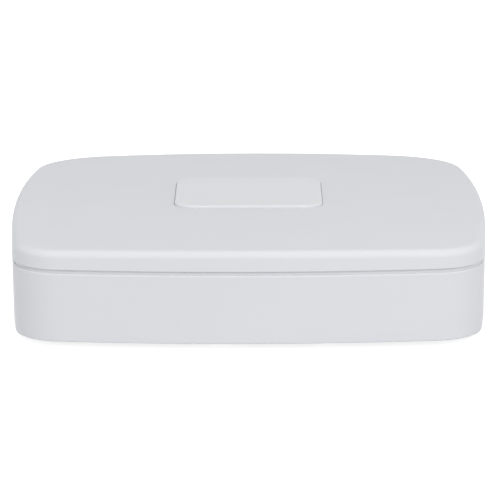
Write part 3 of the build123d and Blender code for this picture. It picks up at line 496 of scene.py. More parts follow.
def seen_rays(tree, strength):
    """The strength for rays from the camera, or that a glossy or clear surface sends on, and 0 for others."""
    path = tree.nodes.new("ShaderNodeLightPath")
    value = path.outputs["Is Camera Ray"]
    for other in ("Is Glossy Ray", "Is Transmission Ray"):
        value = calculated(tree, "MAXIMUM", value, path.outputs[other])
    return calculated(tree, "MULTIPLY", value, strength)


def noise(tree, place, size_mm, detail=2.0, stretch=(1, 1, 1)):
    """Noise with features of about size_mm, drawn out along an axis where stretch is below 1."""
    scale = [s / (size_mm * MM) for s in stretch]
    where = shader_node(tree, "Mapping", {"Vector": place, "Scale": scale})
    return shader_node(tree, "TexNoise", {"Vector": where, "Scale": 1.0, "Detail": detail}, "Fac")


def spread(tree, value, low, high):
    """Maps the middle of a noise's range to low..high."""
    return shader_node(tree, "MapRange", {"Value": value, "From Min": 0.3, "From Max": 0.7,
                                          "To Min": low, "To Max": high}, "Result")


def mixed(tree, share, first, second):
    """A colour between two, by share. Each is a colour or a socket."""
    made = tree.nodes.new("ShaderNodeMix")
    made.data_type = "RGBA"
    first, second = ((*c, 1.0) if isinstance(c, tuple) else c for c in (first, second))
    fill(tree, made, {"Factor": share, 6: first, 7: second})
    return made.outputs[2]


def bumped(tree, heights):
    """A normal from several heights, each with its depth in millimetres."""
    values = {"Strength": 1.0}
    for height, depth in heights:
        values.update({"Height": height, "Distance": depth * MM})
        values["Normal"] = shader_node(tree, "Bump", values)
    return values["Normal"]


def surface(name, colour, rough, metallic=0.0, tint=0.03, tint_size=18.0, rough_change=0.06,
            grain=0.004, grain_size=0.25, wave=0.0, wave_size=12.0, stretch=(1, 1, 1),
            ior=1.46, level=0.5, coat=0.0):
    """A surface with slow changes of colour and gloss, a fine grain and, where asked, slow waves."""
    material = bpy.data.materials.new(name)
    material.use_nodes = True
    tree = material.node_tree
    shader = tree.nodes["Principled BSDF"]
    place = shader_node(tree, "TexCoord", {}, "Object")
    slow = noise(tree, place, tint_size, 3.0, stretch)
    uneven = noise(tree, place, tint_size * 0.4, 4.0, stretch)
    light = tuple(min(1.0, c * (1 + tint)) for c in colour)
    dark = tuple(c * (1 - tint) for c in colour)
    heights = [(noise(tree, place, grain_size, 2.0, stretch), grain)]
    if wave:
        heights.append((noise(tree, place, wave_size, 1.0), wave))
    fill(tree, shader, {"Base Color": mixed(tree, spread(tree, slow, 0.0, 1.0), dark, light),
                        "Roughness": spread(tree, uneven, rough - rough_change, rough + rough_change),
                        "Normal": bumped(tree, heights), "Metallic": metallic, "IOR": ior,
                        "Specular IOR Level": level})
    if coat:
        fill(tree, shader, {"Coat Weight": coat, "Coat Roughness": 0.12})
    return material


def solder_mask(name):
    """Green solder mask with raised tracks under it and small plated holes."""
    material = surface(name, (0.012, 0.085, 0.035), 0.34, tint=0.05, grain=0.001, coat=0.25)
    tree = material.node_tree
    place = shader_node(tree, "TexCoord", {}, "Object")
    tracks = []
    for turn, width, height in ((0.0, 5.2, 1.3), (math.pi / 2, 7.4, 1.9)):
        where = shader_node(tree, "Mapping", {"Vector": place, "Rotation": (0, 0, turn)})
        tracks.append(shader_node(tree, "TexBrick", {
            "Vector": where, "Scale": 1.0, "Brick Width": width * MM, "Row Height": height * MM,
            "Mortar Size": 0.09 * MM, "Mortar Smooth": 0.3}, "Fac"))
    area = calculated(tree, "GREATER_THAN", noise(tree, place, 16.0, 0.0), 0.5)
    track = shader_node(tree, "Mix", {"Factor": area, 2: tracks[0], 3: tracks[1]})
    green = mixed(tree, track, (0.010, 0.075, 0.030), (0.022, 0.150, 0.062))
    centre = shader_node(tree, "TexVoronoi", {"Vector": place, "Scale": 1 / (6.0 * MM)}, "Distance")
    hole = calculated(tree, "LESS_THAN", centre, 0.055)
    fill(tree, tree.nodes["Principled BSDF"], {"Base Color": mixed(tree, hole, green, (0.62, 0.55, 0.36)),
                                               "Normal": bumped(tree, [(track, 0.03)])})
    return material


LOOKS = {
    "case_plastic": surface("moulded_case", (0.665, 0.675, 0.705), 0.46, tint=0.006, tint_size=60.0,
                            rough_change=0.03, grain=0.0012, grain_size=0.22, wave=0.01, wave_size=45.0,
                            level=0.22),
    "plate_plastic": surface("moulded_plate", (0.675, 0.683, 0.705), 0.36, tint=0.005, tint_size=40.0,
                             rough_change=0.02, grain=0.0006, grain_size=0.3, level=0.25),
    "rubber": surface("foot_rubber", (0.028, 0.028, 0.030), 0.72, tint=0.08, grain=0.012, grain_size=0.35),
    "screw_steel": surface("zinc_screw", (0.60, 0.61, 0.63), 0.32, 1.0, grain=0.002, stretch=(1, 1, 0.1)),
    "panel_metal": surface("powder_coat", (0.030, 0.030, 0.032), 0.52, tint=0.06, grain=0.018,
                           grain_size=0.45),
    "socket_metal": surface("nickel_plate", (0.56, 0.56, 0.55), 0.30, 1.0, grain=0.0015,
                            stretch=(1, 0.15, 1)),
    "black_plastic": surface("black_moulding", (0.022, 0.022, 0.024), 0.48, tint=0.05),
    "blue_plastic": surface("blue_moulding", (0.018, 0.070, 0.330), 0.42, tint=0.05),
    "contact_gold": surface("gold_flash", (0.83, 0.60, 0.24), 0.25, 1.0, grain=0.001),
    "board_green": solder_mask("solder_mask"),
    "chip_black": surface("chip_epoxy", (0.030, 0.030, 0.033), 0.55, tint=0.05, grain=0.006, grain_size=0.12),
    "pad_grey": surface("thermal_pad", (0.36, 0.42, 0.48), 0.70, tint=0.05, grain=0.02, grain_size=0.3),
    "heatsink_aluminium": surface("anodised_fins", (0.50, 0.51, 0.53), 0.38, 1.0, grain=0.003,
                                  stretch=(1, 0.05, 1)),
    "can_sleeve": surface("capacitor_sleeve", (0.020, 0.024, 0.060), 0.33, tint=0.05, grain=0.002),
    "ferrite": surface("ferrite", (0.085, 0.085, 0.088), 0.62, tint=0.08, grain=0.012, grain_size=0.2),
    "cell_steel": surface("cell_steel", (0.66, 0.67, 0.68), 0.22, 1.0, grain=0.001, grain_size=0.4),
    "lead_red": surface("red_jacket", (0.42, 0.030, 0.022), 0.44, tint=0.06, grain=0.003),
    "lead_black": surface("black_jacket", (0.030, 0.030, 0.030), 0.50, tint=0.05, grain=0.003),
    "cast_aluminium": surface("cast_aluminium", (0.30, 0.31, 0.32), 0.50, 1.0, tint=0.05, grain=0.015,
                              grain_size=0.5),
    "lid_steel": surface("pressed_steel", (0.52, 0.53, 0.54), 0.32, 1.0, grain=0.0015, grain_size=0.3,
                         stretch=(0.04, 1, 1), rough_change=0.08),
    "label_white": surface("blank_foil", (0.80, 0.80, 0.79), 0.38, tint=0.01, grain=0.002, wave=0.02),
    "platter_mirror": surface("platter_film", (0.58, 0.58, 0.60), 0.09, 1.0, tint=0.01, rough_change=0.02,
                              grain=0.0001),
    "coil_copper": surface("copper_winding", (0.72, 0.30, 0.12), 0.30, 1.0, grain=0.02, grain_size=0.15,
                           stretch=(0.1, 0.1, 1)),
    "ramp_plastic": surface("ramp_moulding", (0.68, 0.64, 0.55), 0.45, grain=0.003),
}
EXTRA = {
    "can_top": surface("can_aluminium", (0.66, 0.67, 0.68), 0.30, 1.0, grain=0.002),
    "tin": surface("tinned_ends", (0.62, 0.62, 0.60), 0.35, 1.0),
    "ceramic": surface("chip_ceramic", (0.30, 0.21, 0.12), 0.55, tint=0.10, grain=0.003),
    "yellow_jacket": surface("yellow_jacket", (0.62, 0.42, 0.02), 0.44, tint=0.04, grain=0.003),
    "amber_pipe": surface("amber_light_pipe", (0.55, 0.30, 0.05), 0.22, grain=0.001),
    "green_pipe": surface("green_light_pipe", (0.10, 0.42, 0.10), 0.22, grain=0.001),
}
for node, obj in frame["nodes"].items():
    for holder in obj.material_slots:
        holder.material = LOOKS[SLOTS[node]]


def make_cover():
    """The lid: crowned roof with a round rim, drafted skirt, rebate, bosses, ribs and the plate's pocket."""
    ceiling = plan_ring(wall, lambda x, y: roof(x, y, wall))
    rings = [shrunk(ceiling, share, lambda x, y: roof(x, y, wall))
             for share in (0.08, 0.2, 0.35, 0.5, 0.65, 0.8, 0.93)]
    rings += [ceiling, plan_ring(wall, lip_top_z + 0.4), plan_ring(rebate_inset, lip_top_z + 0.4),
              plan_ring(rebate_inset, cover_z)]
    rings += [plan_ring(edge_round * (1 - up), cover_z + edge_round * inward)
              for inward, up in quarter(4)]
    drafted = cover_draft * (crown_z - crown_along - rim_radius - cover_z)
    for inward, up in quarter(12):
        rings.append(plan_ring(drafted + rim_radius * inward,
                               lambda x, y, up=up: roof(x, y, rim_radius * (1 - up))))
    rim = rings[-1]
    pocket = plate_ring(plate_clearance + 0.2, roof)
    rings += [between(rim, pocket, k / 16, roof) for k in range(1, 16)]
    rings += [pocket, plate_ring(plate_clearance, lambda x, y: roof(x, y, 0.2)),
              plate_ring(plate_clearance, plate_low.z)]
    bm = skin(rings, (0, 0, roof(0, 0, wall)), (0, plate_low.y / 2 + plate_high.y / 2, plate_low.z))
    rib_low = crown_z - wall - crown_across - crown_along - 2.0
    for x in (-rib_x, rib_x):
        add_box(bm, (x - rib_half, -rib_reach, rib_low),
                (x + rib_half, rib_reach, roof(rib_x, rib_reach, wall / 2)))
    foot = boss_top_z + 0.3
    bore_top = foot + 3.9
    for x, y in COVER_SCREWS:
        top = roof(x, y, wall / 2)
        add_lathe(bm, [(3.6, top), (3.6, foot + 0.3), (3.3, foot), (1.55, foot), (1.55, bore_top)], (x, y, 0))
    stand_in(new_object("top_cover_moulding", bm), "top_cover", sharp=40)


def make_plate():
    """The blank plate: flat, with a round upper edge."""
    middle_y = (plate_low.y + plate_high.y) / 2
    rings = [plate_ring(0, plate_low.z), plate_ring(0, plate_high.z - plate_round)]
    rings += [plate_ring(-plate_round * inward, plate_high.z - plate_round * (1 - up))
              for inward, up in quarter(6)][1:]
    rings.append(plate_ring(-plate_round - 2, plate_high.z))
    bm = skin(rings, (0, middle_y, plate_low.z), (0, middle_y, plate_high.z))
    stand_in(new_object("name_plate_moulding", bm), "name_plate", sharp=50)


def post_profile(radius, top, bevel):
    """The profile of a round post that flares into the case's floor."""
    return [(radius + 0.6, inside_z - 0.6), (radius + 0.6, inside_z), (radius + 0.1, inside_z + 0.6),
            (radius, inside_z + 1.4), (radius, top - bevel), (radius - bevel, top)]


def make_base():
    """The tray: drafted wall with a round shoulder, lip, floor with vents, bosses and the rear recess."""
    taper = (shoulder_z - floor_z) * base_draft

    def outer_rings():
        rings = [plan_ring(taper + foot_round * (1 - up), floor_z + foot_round * inward)
                 for inward, up in quarter(5)]
        rings += [plan_ring(shoulder_round * inward, shoulder_z - shoulder_round * (1 - up))
                  for inward, up in quarter(6)]
        return rings

    rings = outer_rings()
    rings += [plan_ring(shoulder_round + 0.05, shoulder_z + 0.5),
              plan_ring(shoulder_round + 0.15, shoulder_z + 1.0),
              plan_ring(lip_inset, shoulder_z + 1.4), plan_ring(lip_inset, lip_top_z - 0.3),
              plan_ring(lip_inset + 0.3, lip_top_z), plan_ring(inner_inset - 0.3, lip_top_z),
              plan_ring(inner_inset, lip_top_z - 0.3), plan_ring(inner_inset, inside_z + 1.2)]
    rings += [plan_ring(inner_inset + 1.2 * (1 - math.cos(a)), inside_z + 1.2 * (1 - math.sin(a)))
              for a in (0.4, 0.8, 1.2, math.pi / 2)]
    base = new_object("bottom_case_moulding", skin(rings, (0, 0, floor_z), (0, 0, inside_z)))
    cutters = bmesh.new()
    add_box(cutters, (-panel_half_window, panel_inner_y - 4, inside_z),
            (panel_half_window, half_depth + 5, lip_top_z + 1))
    for y in (drive_mid_y, (board_low.y + board_high.y) / 2):
        for i in range(vents_in_row):
            x = (i - (vents_in_row - 1) / 2) * vent_pitch
            add_slot(cutters, x, y - vent_reach, y + vent_reach, floor_z - 1, inside_z + 1, vent_width)
    combine(base, cutters, "DIFFERENCE")
    cheeks = new_object("cheeks", skin(outer_rings(), (0, 0, floor_z), (0, 0, shoulder_z)))
    posts = bmesh.new()
    for s in (-1, 1):
        xs = sorted((s * panel_half_window, s * (panel_half_window + 4)))
        add_box(posts, (xs[0], panel_inner_y - 1.6, inside_z - 1), (xs[1], half_depth, shoulder_z - 0.1))
    combine(cheeks, posts, "INTERSECT")
    grooves = bmesh.new()
    for s in (-1, 1):
        xs = sorted((s * (panel_half_window - 1), s * (panel_half_window + 1.8)))
        add_box(grooves, (xs[0], panel_inner_y - 0.1, inside_z), (xs[1], panel_outer_y + 0.1, shoulder_z + 1))
    combine(cheeks, grooves, "DIFFERENCE")
    solid = bmesh.new()
    solid.from_mesh(cheeks.data)
    bmesh.ops.scale(solid, vec=(1 / MM,) * 3, verts=solid.verts)
    bpy.data.objects.remove(cheeks)
    add_lathes(solid, post_profile(4.2, boss_top_z, 0.3), COVER_SCREWS)
    add_lathes(solid, post_profile(3.2, standoff_top_z, 0.2), STANDOFFS)
    add_lathes(solid, [(4.7, inside_z - 0.6), (4.7, pad_top_z - 0.2), (4.5, pad_top_z)], DRIVE_SCREWS)
    combine(base, solid, "UNION")
    bores = bmesh.new()
    for places, recess, bore, seat, top in (
            (COVER_SCREWS, 3.2, 1.7, cover_screw_seat_z, boss_top_z + 1),
            (DRIVE_SCREWS, 4.2, 1.9, drive_screw_seat_z, pad_top_z + 1)):
        add_lathes(bores, [(recess, floor_z - 1), (recess, seat), (bore, seat), (bore, top)], places)
    add_lathes(bores, [(1.35, inside_z), (1.35, standoff_top_z + 1)], STANDOFFS, 24)
    combine(base, bores, "DIFFERENCE")
    stand_in(base, "bottom_case", sharp=35)


def add_cross(bm, at, reach, depth, turn=0.0, slim=0.22):
    """A cross-shaped cutter that narrows as it goes into a face. It is turned about X from upright."""
    arm = reach * slim
    rings = []
    for z, end in ((-depth, reach / 2), (0.3, reach)):
        ring = []
        for c, d in ((1, 0), (0, 1), (-1, 0), (0, -1)):
            ring += [(c * u - d * v, d * u + c * v, z) for u, v in ((end, -arm), (end, arm), (arm, arm))]
        rings.append(ring)
    moved(bm, add_form(bm, *rings), at, turn)


def screw_profile(head, head_height, shank, length, pitch=0.7):
    """A pan head over a threaded shank, from the tip up. The head's underside is at height zero."""
    profile = [(shank * 0.5, -length)]
    turns = int((length - 0.8) / pitch)
    for k in range(turns):
        z = -length + 0.6 + k * pitch
        profile += [(shank * 0.84, z), (shank, z + pitch / 2)]
    profile += [(shank * 0.84, -0.1), (shank * 0.9, 0), (head, 0), (head, head_height * 0.35)]
    profile += [(head * math.cos(a), head_height * (0.35 + 0.65 * math.sin(a)))
                for a in (0.35, 0.7, 1.05, 1.3)]
    return profile + [(0, head_height)]


def make_screws(node, places, seat, head, head_height, shank, length, head_up=False):
    """Cross-recessed pan head screws at places, with their heads above or below the seat."""
    bm = bmesh.new()
    cuts = bmesh.new()
    turn = 0.0 if head_up else math.pi
    top = seat + head_height * (1 if head_up else -1)
    for x, y in places:
        add_lathe(bm, screw_profile(head, head_height, shank, length), (x, y, seat), 28, turn)
        add_cross(cuts, (x, y, top), head * 0.55, head_height * 0.6, turn)
    finished(node, bm, sharp=30, cuts=cuts)


def make_ground_screw():
    """The earthing screw with its washer, in the rear panel."""
    low, high = node_box("ground_screw")
    x, _, z = (low + high) / 2
    bm = bmesh.new()
    shank = [(1.0, low.y)]
    for k in range(5):
        shank += [(1.08, low.y + 0.4 + k * 0.7), (1.25, low.y + 0.75 + k * 0.7)]
    washer_y = panel_outer_y + 0.6
    shank += [(1.25, panel_outer_y), (3.5, panel_outer_y), (3.6, panel_outer_y + 0.15), (3.5, washer_y),
              (2.7, washer_y), (2.7, washer_y + 0.9), (2.4, washer_y + 1.5), (1.6, high.y)]
    add_lathe(bm, shank, (x, 0, z), 36, turn=TO_REAR)
    cuts = bmesh.new()
    add_cross(cuts, (x, high.y, z), 1.6, 1.1, TO_REAR)
    finished("ground_screw", bm, sharp=30, cuts=cuts)


def make_feet():
    """Round rubber feet with a rolled edge and a shallow dish below."""
    high = node_box("rubber_feet")[1]
    radius = 7.0
    top = high.z
    profile = [(0, 0.5), (3.2, 0.45), (4.0, 0.15), (4.4, 0.0), (6.0, 0.0), (6.5, 0.12), (6.85, 0.45),
               (radius, 0.9), (radius, top - 0.1), (radius - 0.1, top)]
    bm = bmesh.new()
    x = high.x - radius
    y = high.y - radius
    add_lathes(bm, profile, ((-x, -y), (-x, y), (x, -y), (x, y)), 48)
    finished("rubber_feet", bm, sharp=40)


def add_leg(bm, x, y, way, top, foot, reach, width, thickness=0.15):
    """A bent leg that leaves a chip's side at x, y along way, and ends flat on the board."""
    profile = [(0, top), (reach * 0.38, top), (reach * 0.52, foot + thickness), (reach, foot + thickness),
               (reach, foot), (reach * 0.42, foot), (reach * 0.28, top - thickness), (0, top - thickness)]
    side = Vector((-way[1], way[0], 0)) * width / 2
    add_form(bm, *[[Vector((x + way[0] * u, y + way[1] * u, z)) + side * s for u, z in profile]
                   for s in (-1, 1)])


def add_legs(bm, low, high, pitch, width, reach, ends="xy", inset=1.0):
    """Legs along the sides of a chip: those that face X, Y or both."""
    x, y = middle_of(low, high)
    top = low.z + (high.z - low.z) * 0.5
    for axis, half, across in (("x", (high.x - low.x) / 2, (high.y - low.y) / 2),
                               ("y", (high.y - low.y) / 2, (high.x - low.x) / 2)):
        if axis not in ends:
            continue
        count = int((2 * (across - inset)) / pitch) + 1
        for k in range(count):
            u = (k - (count - 1) / 2) * pitch
            for s in (-1, 1):
                at = (x + s * half, y + u) if axis == "x" else (x + u, y + s * half)
                way = (s, 0) if axis == "x" else (0, s)
                add_leg(bm, *at, way, top, low.z, reach, width)


def make_sockets():
    """The sockets' inner detail: the inlet, the pin holes, the contacts and the light pipes."""
    low, high = node_box("power_jack")
    x, _, z = (low + high) / 2
    nose = high.y
    bm = bmesh.new()
    add_box(bm, (low.x, low.y, low.z), (high.x, panel_inner_y, high.z))
    jack = new_object("power_jack_dressed", bm)
    collar = bmesh.new()
    add_lathe(collar, [(4.4, panel_inner_y - 1), (4.4, nose - 0.25), (4.15, nose)], (x, 0, z), 48, TO_REAR)
    combine(jack, collar, "UNION")
    bore = bmesh.new()
    add_lathe(bore, [(3.15, nose - 9.5), (3.15, nose - 0.3), (3.5, nose + 0.05), (3.5, nose + 1)],
              (x, 0, z), 48, TO_REAR)
    combine(jack, bore, "DIFFERENCE")
    stand_in(jack, "power_jack", 0.2, 2, 40)
    low, high = node_box("power_jack_pin")
    turned("power_jack_pin", [(1.0, low.y), (1.0, high.y - 0.7), (0.75, high.y - 0.2), (0.4, high.y)],
           (x, 0, z), 28, TO_REAR)
    low, high = node_box("vga_insert")
    vx, _, vz = (low + high) / 2
    holes = bmesh.new()
    for row in (1, 0, -1):
        for k in range(5):
            px = vx + (k - 2) * 2.29 + (0.0 if row else -0.6)
            add_lathe(holes, [(0.5, high.y - 3), (0.5, high.y - 0.2), (0.72, high.y + 0.5)],
                      (px, 0, vz + row * 1.98), 14, TO_REAR)
    refined("vga_insert", 0.0, cuts=holes)
    low, high = node_box("hdmi_tongue")
    bm = bmesh.new()
    for k in range(10):
        u = low.x + 0.95 + k * 1.0
        add_box(bm, (u, low.y + 1, low.z - 0.05), (u + 0.42, high.y - 0.4, low.z + 0.02))
        add_box(bm, (u + 0.2, low.y + 1, high.z - 0.02), (u + 0.62, high.y - 0.4, high.z + 0.05))
    added("hdmi_contacts", bm, LOOKS["contact_gold"])

    low, high = node_box("lan_port")
    for colour, u in (("green", low.x + 1.0), ("amber", high.x - 3.2)):
        bm = bmesh.new()
        add_box(bm, (u, high.y - 1.2, high.z - 2.1), (u + 2.2, high.y + 0.12, high.z - 0.7))
        added("lan_light_" + colour, bm, EXTRA[colour + "_pipe"], edge=0.1)
    bm = bmesh.new()
    for low, high in solids_of("usb_tongues"):
        for k in range(4):
            u = (low.x + high.x) / 2 + (k - 1.5) * 2.3
            add_box(bm, (u - 0.5, low.y + 1, low.z - 0.06), (u + 0.5, high.y - 1.0, low.z + 0.02))
    added("usb_contacts", bm, LOOKS["contact_gold"])


def make_board():
    """The chips' legs and the larger parts on the board."""
    refined("heatsink", 0.0, sharp=0)
    legs = bmesh.new()
    chips = sorted(solids_of("memory_chips"), key=lambda pair: pair[0].x)
    for low, high in chips[1:]:
        add_legs(legs, low, high, 0.8, 0.32, 0.9, "x", 1.1)
    add_legs(legs, *chips[0], 1.27, 0.42, 1.0, "y", 1.0)
    low, high = node_box("network_transformer")
    add_legs(legs, low, high, 1.27, 0.5, 1.3, "y", 1.2)
    low, high = node_box("processor")
    add_legs(legs, low, high, 0.5, 0.2, 1.1, "xy", 1.0)
    added("chip_legs", legs, EXTRA["tin"], sharp=50)

    pins = bmesh.new()
    for low, high in solids_of("heatsink_pins"):
        x, y = middle_of(low, high)
        top = high.z
        add_lathe(pins, [(0.5, low.z), (1.4, low.z + 0.5), (1.4, top - 1.8), (2.6, top - 1.8),
                         (2.6, top - 0.9), (2.1, top - 0.3), (1.2, top)], (x, y, 0))
    finished("heatsink_pins", pins)

    coils = bmesh.new()
    ends = bmesh.new()
    for low, high in solids_of("power_inductors"):
        x, y = middle_of(low, high)
        add_box(coils, low, (high.x, high.y, high.z - 0.15))
        add_lathe(coils, [(2.9, high.z - 0.6), (2.9, high.z - 0.1), (2.8, high.z)], (x, y, 0), 36)
        for s in (-1, 1):
            add_block(ends, x + s * 3.0, y, 0.65, 2.4, low.z, low.z + 0.5)
    finished("power_inductors", coils, edge=0.35, steps=3)
    added("inductor_ends", ends, EXTRA["tin"], edge=0.06)

    sleeves = bmesh.new()
    tops = bmesh.new()
    cross = bmesh.new()
    for low, high in solids_of("capacitors"):
        x, y = middle_of(low, high)
        r = 3.15
        add_lathe(sleeves, [(r - 0.25, low.z), (r, low.z + 0.35), (r, low.z + 0.9), (r - 0.3, low.z + 1.15),
                            (r - 0.3, low.z + 1.35), (r, low.z + 1.6), (r, high.z - 0.3),
                            (r - 0.3, high.z), (r - 0.75, high.z), (r - 0.8, high.z - 0.2)], (x, y, 0), 40)
        add_lathe(tops, [(r - 0.8, high.z - 0.25), (r - 0.85, high.z - 0.08)], (x, y, 0), 40)
        add_cross(cross, (x, y, high.z - 0.08), 2.1, 0.1, slim=0.08)
    finished("capacitors", sleeves)
    added("capacitor_tops", tops, EXTRA["can_top"], cuts=cross)

    low, high = node_box("clock_battery")
    x, y = middle_of(low, high)
    turned("clock_battery", [(8.4, low.z + 0.1), (8.6, low.z), (8.9, low.z), (9.1, low.z + 0.35),
                             (9.7, low.z + 0.4), (10.0, low.z + 0.7), (10.0, high.z - 0.35),
                             (9.7, high.z - 0.05), (9.4, high.z)], (x, y, 0), 64)
    low, high = node_box("buzzer")
    x, y = middle_of(low, high)
    turned("buzzer", [(5.7, low.z), (6.0, low.z + 0.3), (6.0, high.z - 0.8), (5.8, high.z - 0.25),
                      (5.2, high.z), (1.3, high.z), (1.1, high.z - 0.2), (1.1, high.z - 2.0)],
           (x, y, 0), 56)


def facing(along_y, along, aside):
    """A step on plan along and aside of a part, which lies along Y or else along X."""
    return Vector((aside, along, 0) if along_y else (along, aside, 0))


def scatter_parts():
    """Small chips, resistors and capacitors in seeded places on the free parts of the board."""
    dice = random.Random(20417)
    taken = []
    for node in ("processor", "heatsink", "network_transformer", "battery_holder", "buzzer", "power_jack",
                 "vga_insert", "hdmi_shell", "lan_port", "usb_shell", "data_header", "power_header"):
        taken.append(node_box(node))
    for node in ("memory_chips", "power_inductors", "capacitors", "surface_parts"):
        taken += solids_of(node)
    for low, high in solids_of("mainboard_screws"):
        taken.append((low - Vector((1, 1, 0)), high + Vector((1, 1, 0))))
    kinds = (("chip_resistors", LOOKS["chip_black"], (1.6, 0.8, 0.45)),
             ("chip_capacitors", EXTRA["ceramic"], (2.0, 1.25, 0.9)))
    bodies = {name: bmesh.new() for name, _, _ in kinds}
    ends = bmesh.new()
    for _ in range(SCATTER_TRIES):
        name, _, (length, width, height) = kinds[dice.random() < 0.4]
        along_y = dice.random() < 0.5
        row = dice.randint(1, 4)
        pitch = width + 0.9
        x = dice.uniform(board_low.x + 4, board_high.x - 4)
        y = dice.uniform(board_low.y + 3, board_high.y - 4)
        middle = Vector((x, y, 0))
        reach = facing(along_y, length / 2, row * pitch / 2)
        low = middle - reach
        high = middle + reach
        if min(low.x - board_low.x, low.y - board_low.y, board_high.x - high.x, board_high.y - high.y) < 2:
            continue
        if any(low.x < b.x + 0.9 and high.x > a.x - 0.9 and low.y < b.y + 0.9 and high.y > a.y - 0.9
               for a, b in taken):
            continue
        taken.append((low, high))
        for k in range(row):
            at = middle + facing(along_y, 0, (k - (row - 1) / 2) * pitch)
            half = facing(along_y, length * 0.428, width / 2)
            add_block(bodies[name], at.x, at.y, half.x, half.y, board_top_z, board_top_z + height)
            half = facing(along_y, length * 0.15, width / 2)
            for s in (-1, 1):
                end = at + facing(along_y, length * 0.36 * s, 0)
                add_block(ends, end.x, end.y, half.x, half.y, board_top_z, board_top_z + height + 0.03)
    for name, material, _ in kinds:
        added(name, bodies[name], material, edge=0.05, steps=1)
    added("chip_ends", ends, EXTRA["tin"], edge=0.06, steps=1)


def make_wires():
    """The power lead as four jacketed wires side by side, which follow the flat lead's route."""
    plugs = sorted(solids_of("power_plugs"), key=lambda pair: pair[0].y)
    (near_low, near_high), (far_low, far_high) = plugs
    low, high = node_box("power_lead")
    radius = 0.68
    bay_x = high.x - 0.8
    start_y = (near_low.y + near_high.y) / 2
    end_x = (far_low.x + far_high.x) / 2 + 2.0
    route = [(near_high.x - 1.5, start_y), (near_high.x + 1.5, start_y), (bay_x - 0.6, start_y),
             (bay_x - 0.2, start_y + 5), (bay_x - 0.2, start_y + 26), (bay_x, far_low.y - 18),
             (bay_x - 0.4, far_low.y - 11), (end_x + 1.0, far_low.y - 6), (end_x, far_low.y - 1),
             (end_x, far_low.y + 1.5)]
    for k, slot in enumerate(("lead_black", "lead_red", "lead_black", None)):
        jacket = LOOKS[slot] if slot else EXTRA["yellow_jacket"]
        z = low.z + 0.7 + k * 1.4
        curve = bpy.data.curves.new("power_wire_%d" % k, "CURVE")
        curve.dimensions = "3D"
        curve.bevel_depth = radius * MM
        curve.bevel_resolution = 4
        curve.resolution_u = 10
        curve.use_fill_caps = True
        spline = curve.splines.new("NURBS")
        spline.points.add(len(route) - 1)
        for point, (x, y) in zip(spline.points, route):
            point.co = (x * MM, y * MM, z * MM, 1.0)
        spline.order_u = 3
        spline.use_endpoint_u = True
        curve.materials.append(jacket)
        wire = linked("power_wire_%d" % k, curve)
        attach(wire, "root")
        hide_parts("power_lead")


def make_drive():
    """The recording drive: cast tray, foil, the lid's screws, and the turned parts sealed inside."""
    refined("drive_chassis", 0.3, sharp=50)
    low, high = node_box("drive_label")
    foil = bmesh.new()
    corner = 3.0
    ring = []
    for turn, x, y in ((0, high.x - corner, high.y - corner), (1, low.x + corner, high.y - corner),
                       (2, low.x + corner, low.y + corner), (3, high.x - corner, low.y + corner)):
        ring += arc(x, y, corner, turn, turn + 1, 5)
    add_prism(foil, ring, low.z, high.z)
    finished("drive_label", foil, edge=0.04)

    low, high = node_box("drive_lid")
    step_z = high.z - 0.5
    heads = bmesh.new()
    sockets = bmesh.new()
    for x, y in ((low.x + 5.5, low.y + 5.0), (low.x + 5.5, high.y - 5.0), (high.x - 5.5, low.y + 5.0),
                 (high.x - 5.5, high.y - 5.0), (0.0, low.y + 4.5), (0.0, high.y - 4.5)):
        add_lathe(heads, [(2.4, step_z - 0.5), (2.4, step_z + 0.25), (2.1, step_z + 0.5), (0, step_z + 0.55)],
                  (x, y, 0), 28)
        add_lathe(sockets, [(1.0, step_z + 0.1), (1.0, step_z + 1)], (x, y, 0), 6)
    added("lid_screws", heads, LOOKS["screw_steel"], cuts=sockets)

    shafts = bmesh.new()
    for low, high in solids_of("drive_shafts"):
        x, y = middle_of(low, high)
        r = (high.x - low.x) / 2
        add_lathe(shafts, [(r, low.z), (r, high.z - 0.3), (r - 0.3, high.z)], (x, y, 0), 40)
    finished("drive_shafts", shafts)
    low, high = node_box("spindle_hub")
    disc_low, disc_high = node_box("platter")
    radius = (disc_high.x - disc_low.x) / 2
    under = disc_low.z
    over = disc_high.z
    x, y = middle_of(low, high)
    bore = 12.5
    turned("spindle_hub", [(2.6, low.z), (14.7, low.z), (15.0, low.z + 0.3), (15.0, under), (bore, under),
                           (bore, high.z), (2.6, high.z), (2.6, low.z)], (x, y, 0), 72)
    turned("platter", [(bore, under), (radius - 0.2, under), (radius, under + 0.2), (radius, over - 0.2),
                       (radius - 0.2, over), (bore, over), (bore, under)], (x, y, 0), 160)
    low, high = node_box("platter_clamp")
    wells = bmesh.new()
    for k in range(6):
        a = math.pi / 3 * k
        add_lathe(wells, [(1.2, high.z - 0.5), (1.2, high.z + 1)],
                  (x + 10.5 * math.cos(a), y + 10.5 * math.sin(a), 0), 20)
    turned("platter_clamp", [(4.0, low.z), (15.5, low.z), (15.5, high.z - 0.4), (15.1, high.z), (6.0, high.z),
                             (5.4, high.z - 0.4), (4.0, high.z - 0.4), (4.0, low.z)], (x, y, 0), 72,
           cuts=wells)


for steps, widths in ROUNDED.items():
    for node, edge in widths.items():
        refined(node, edge, steps)
make_cover()
make_plate()
make_base()
make_feet()
make_sockets()
make_board()
scatter_parts()
make_wires()
make_drive()
make_screws("cover_screws", COVER_SCREWS, cover_screw_seat_z, head=2.8, head_height=2.0, shank=1.45,
            length=16.0)
make_screws("drive_screws", DRIVE_SCREWS, drive_screw_seat_z, head=3.9, head_height=1.4, shank=1.7,
            length=7.4)
make_screws("mainboard_screws", STANDOFFS, board_top_z, head=2.6, head_height=1.7, shank=1.25,
            length=5.2, head_up=True)
make_ground_screw()


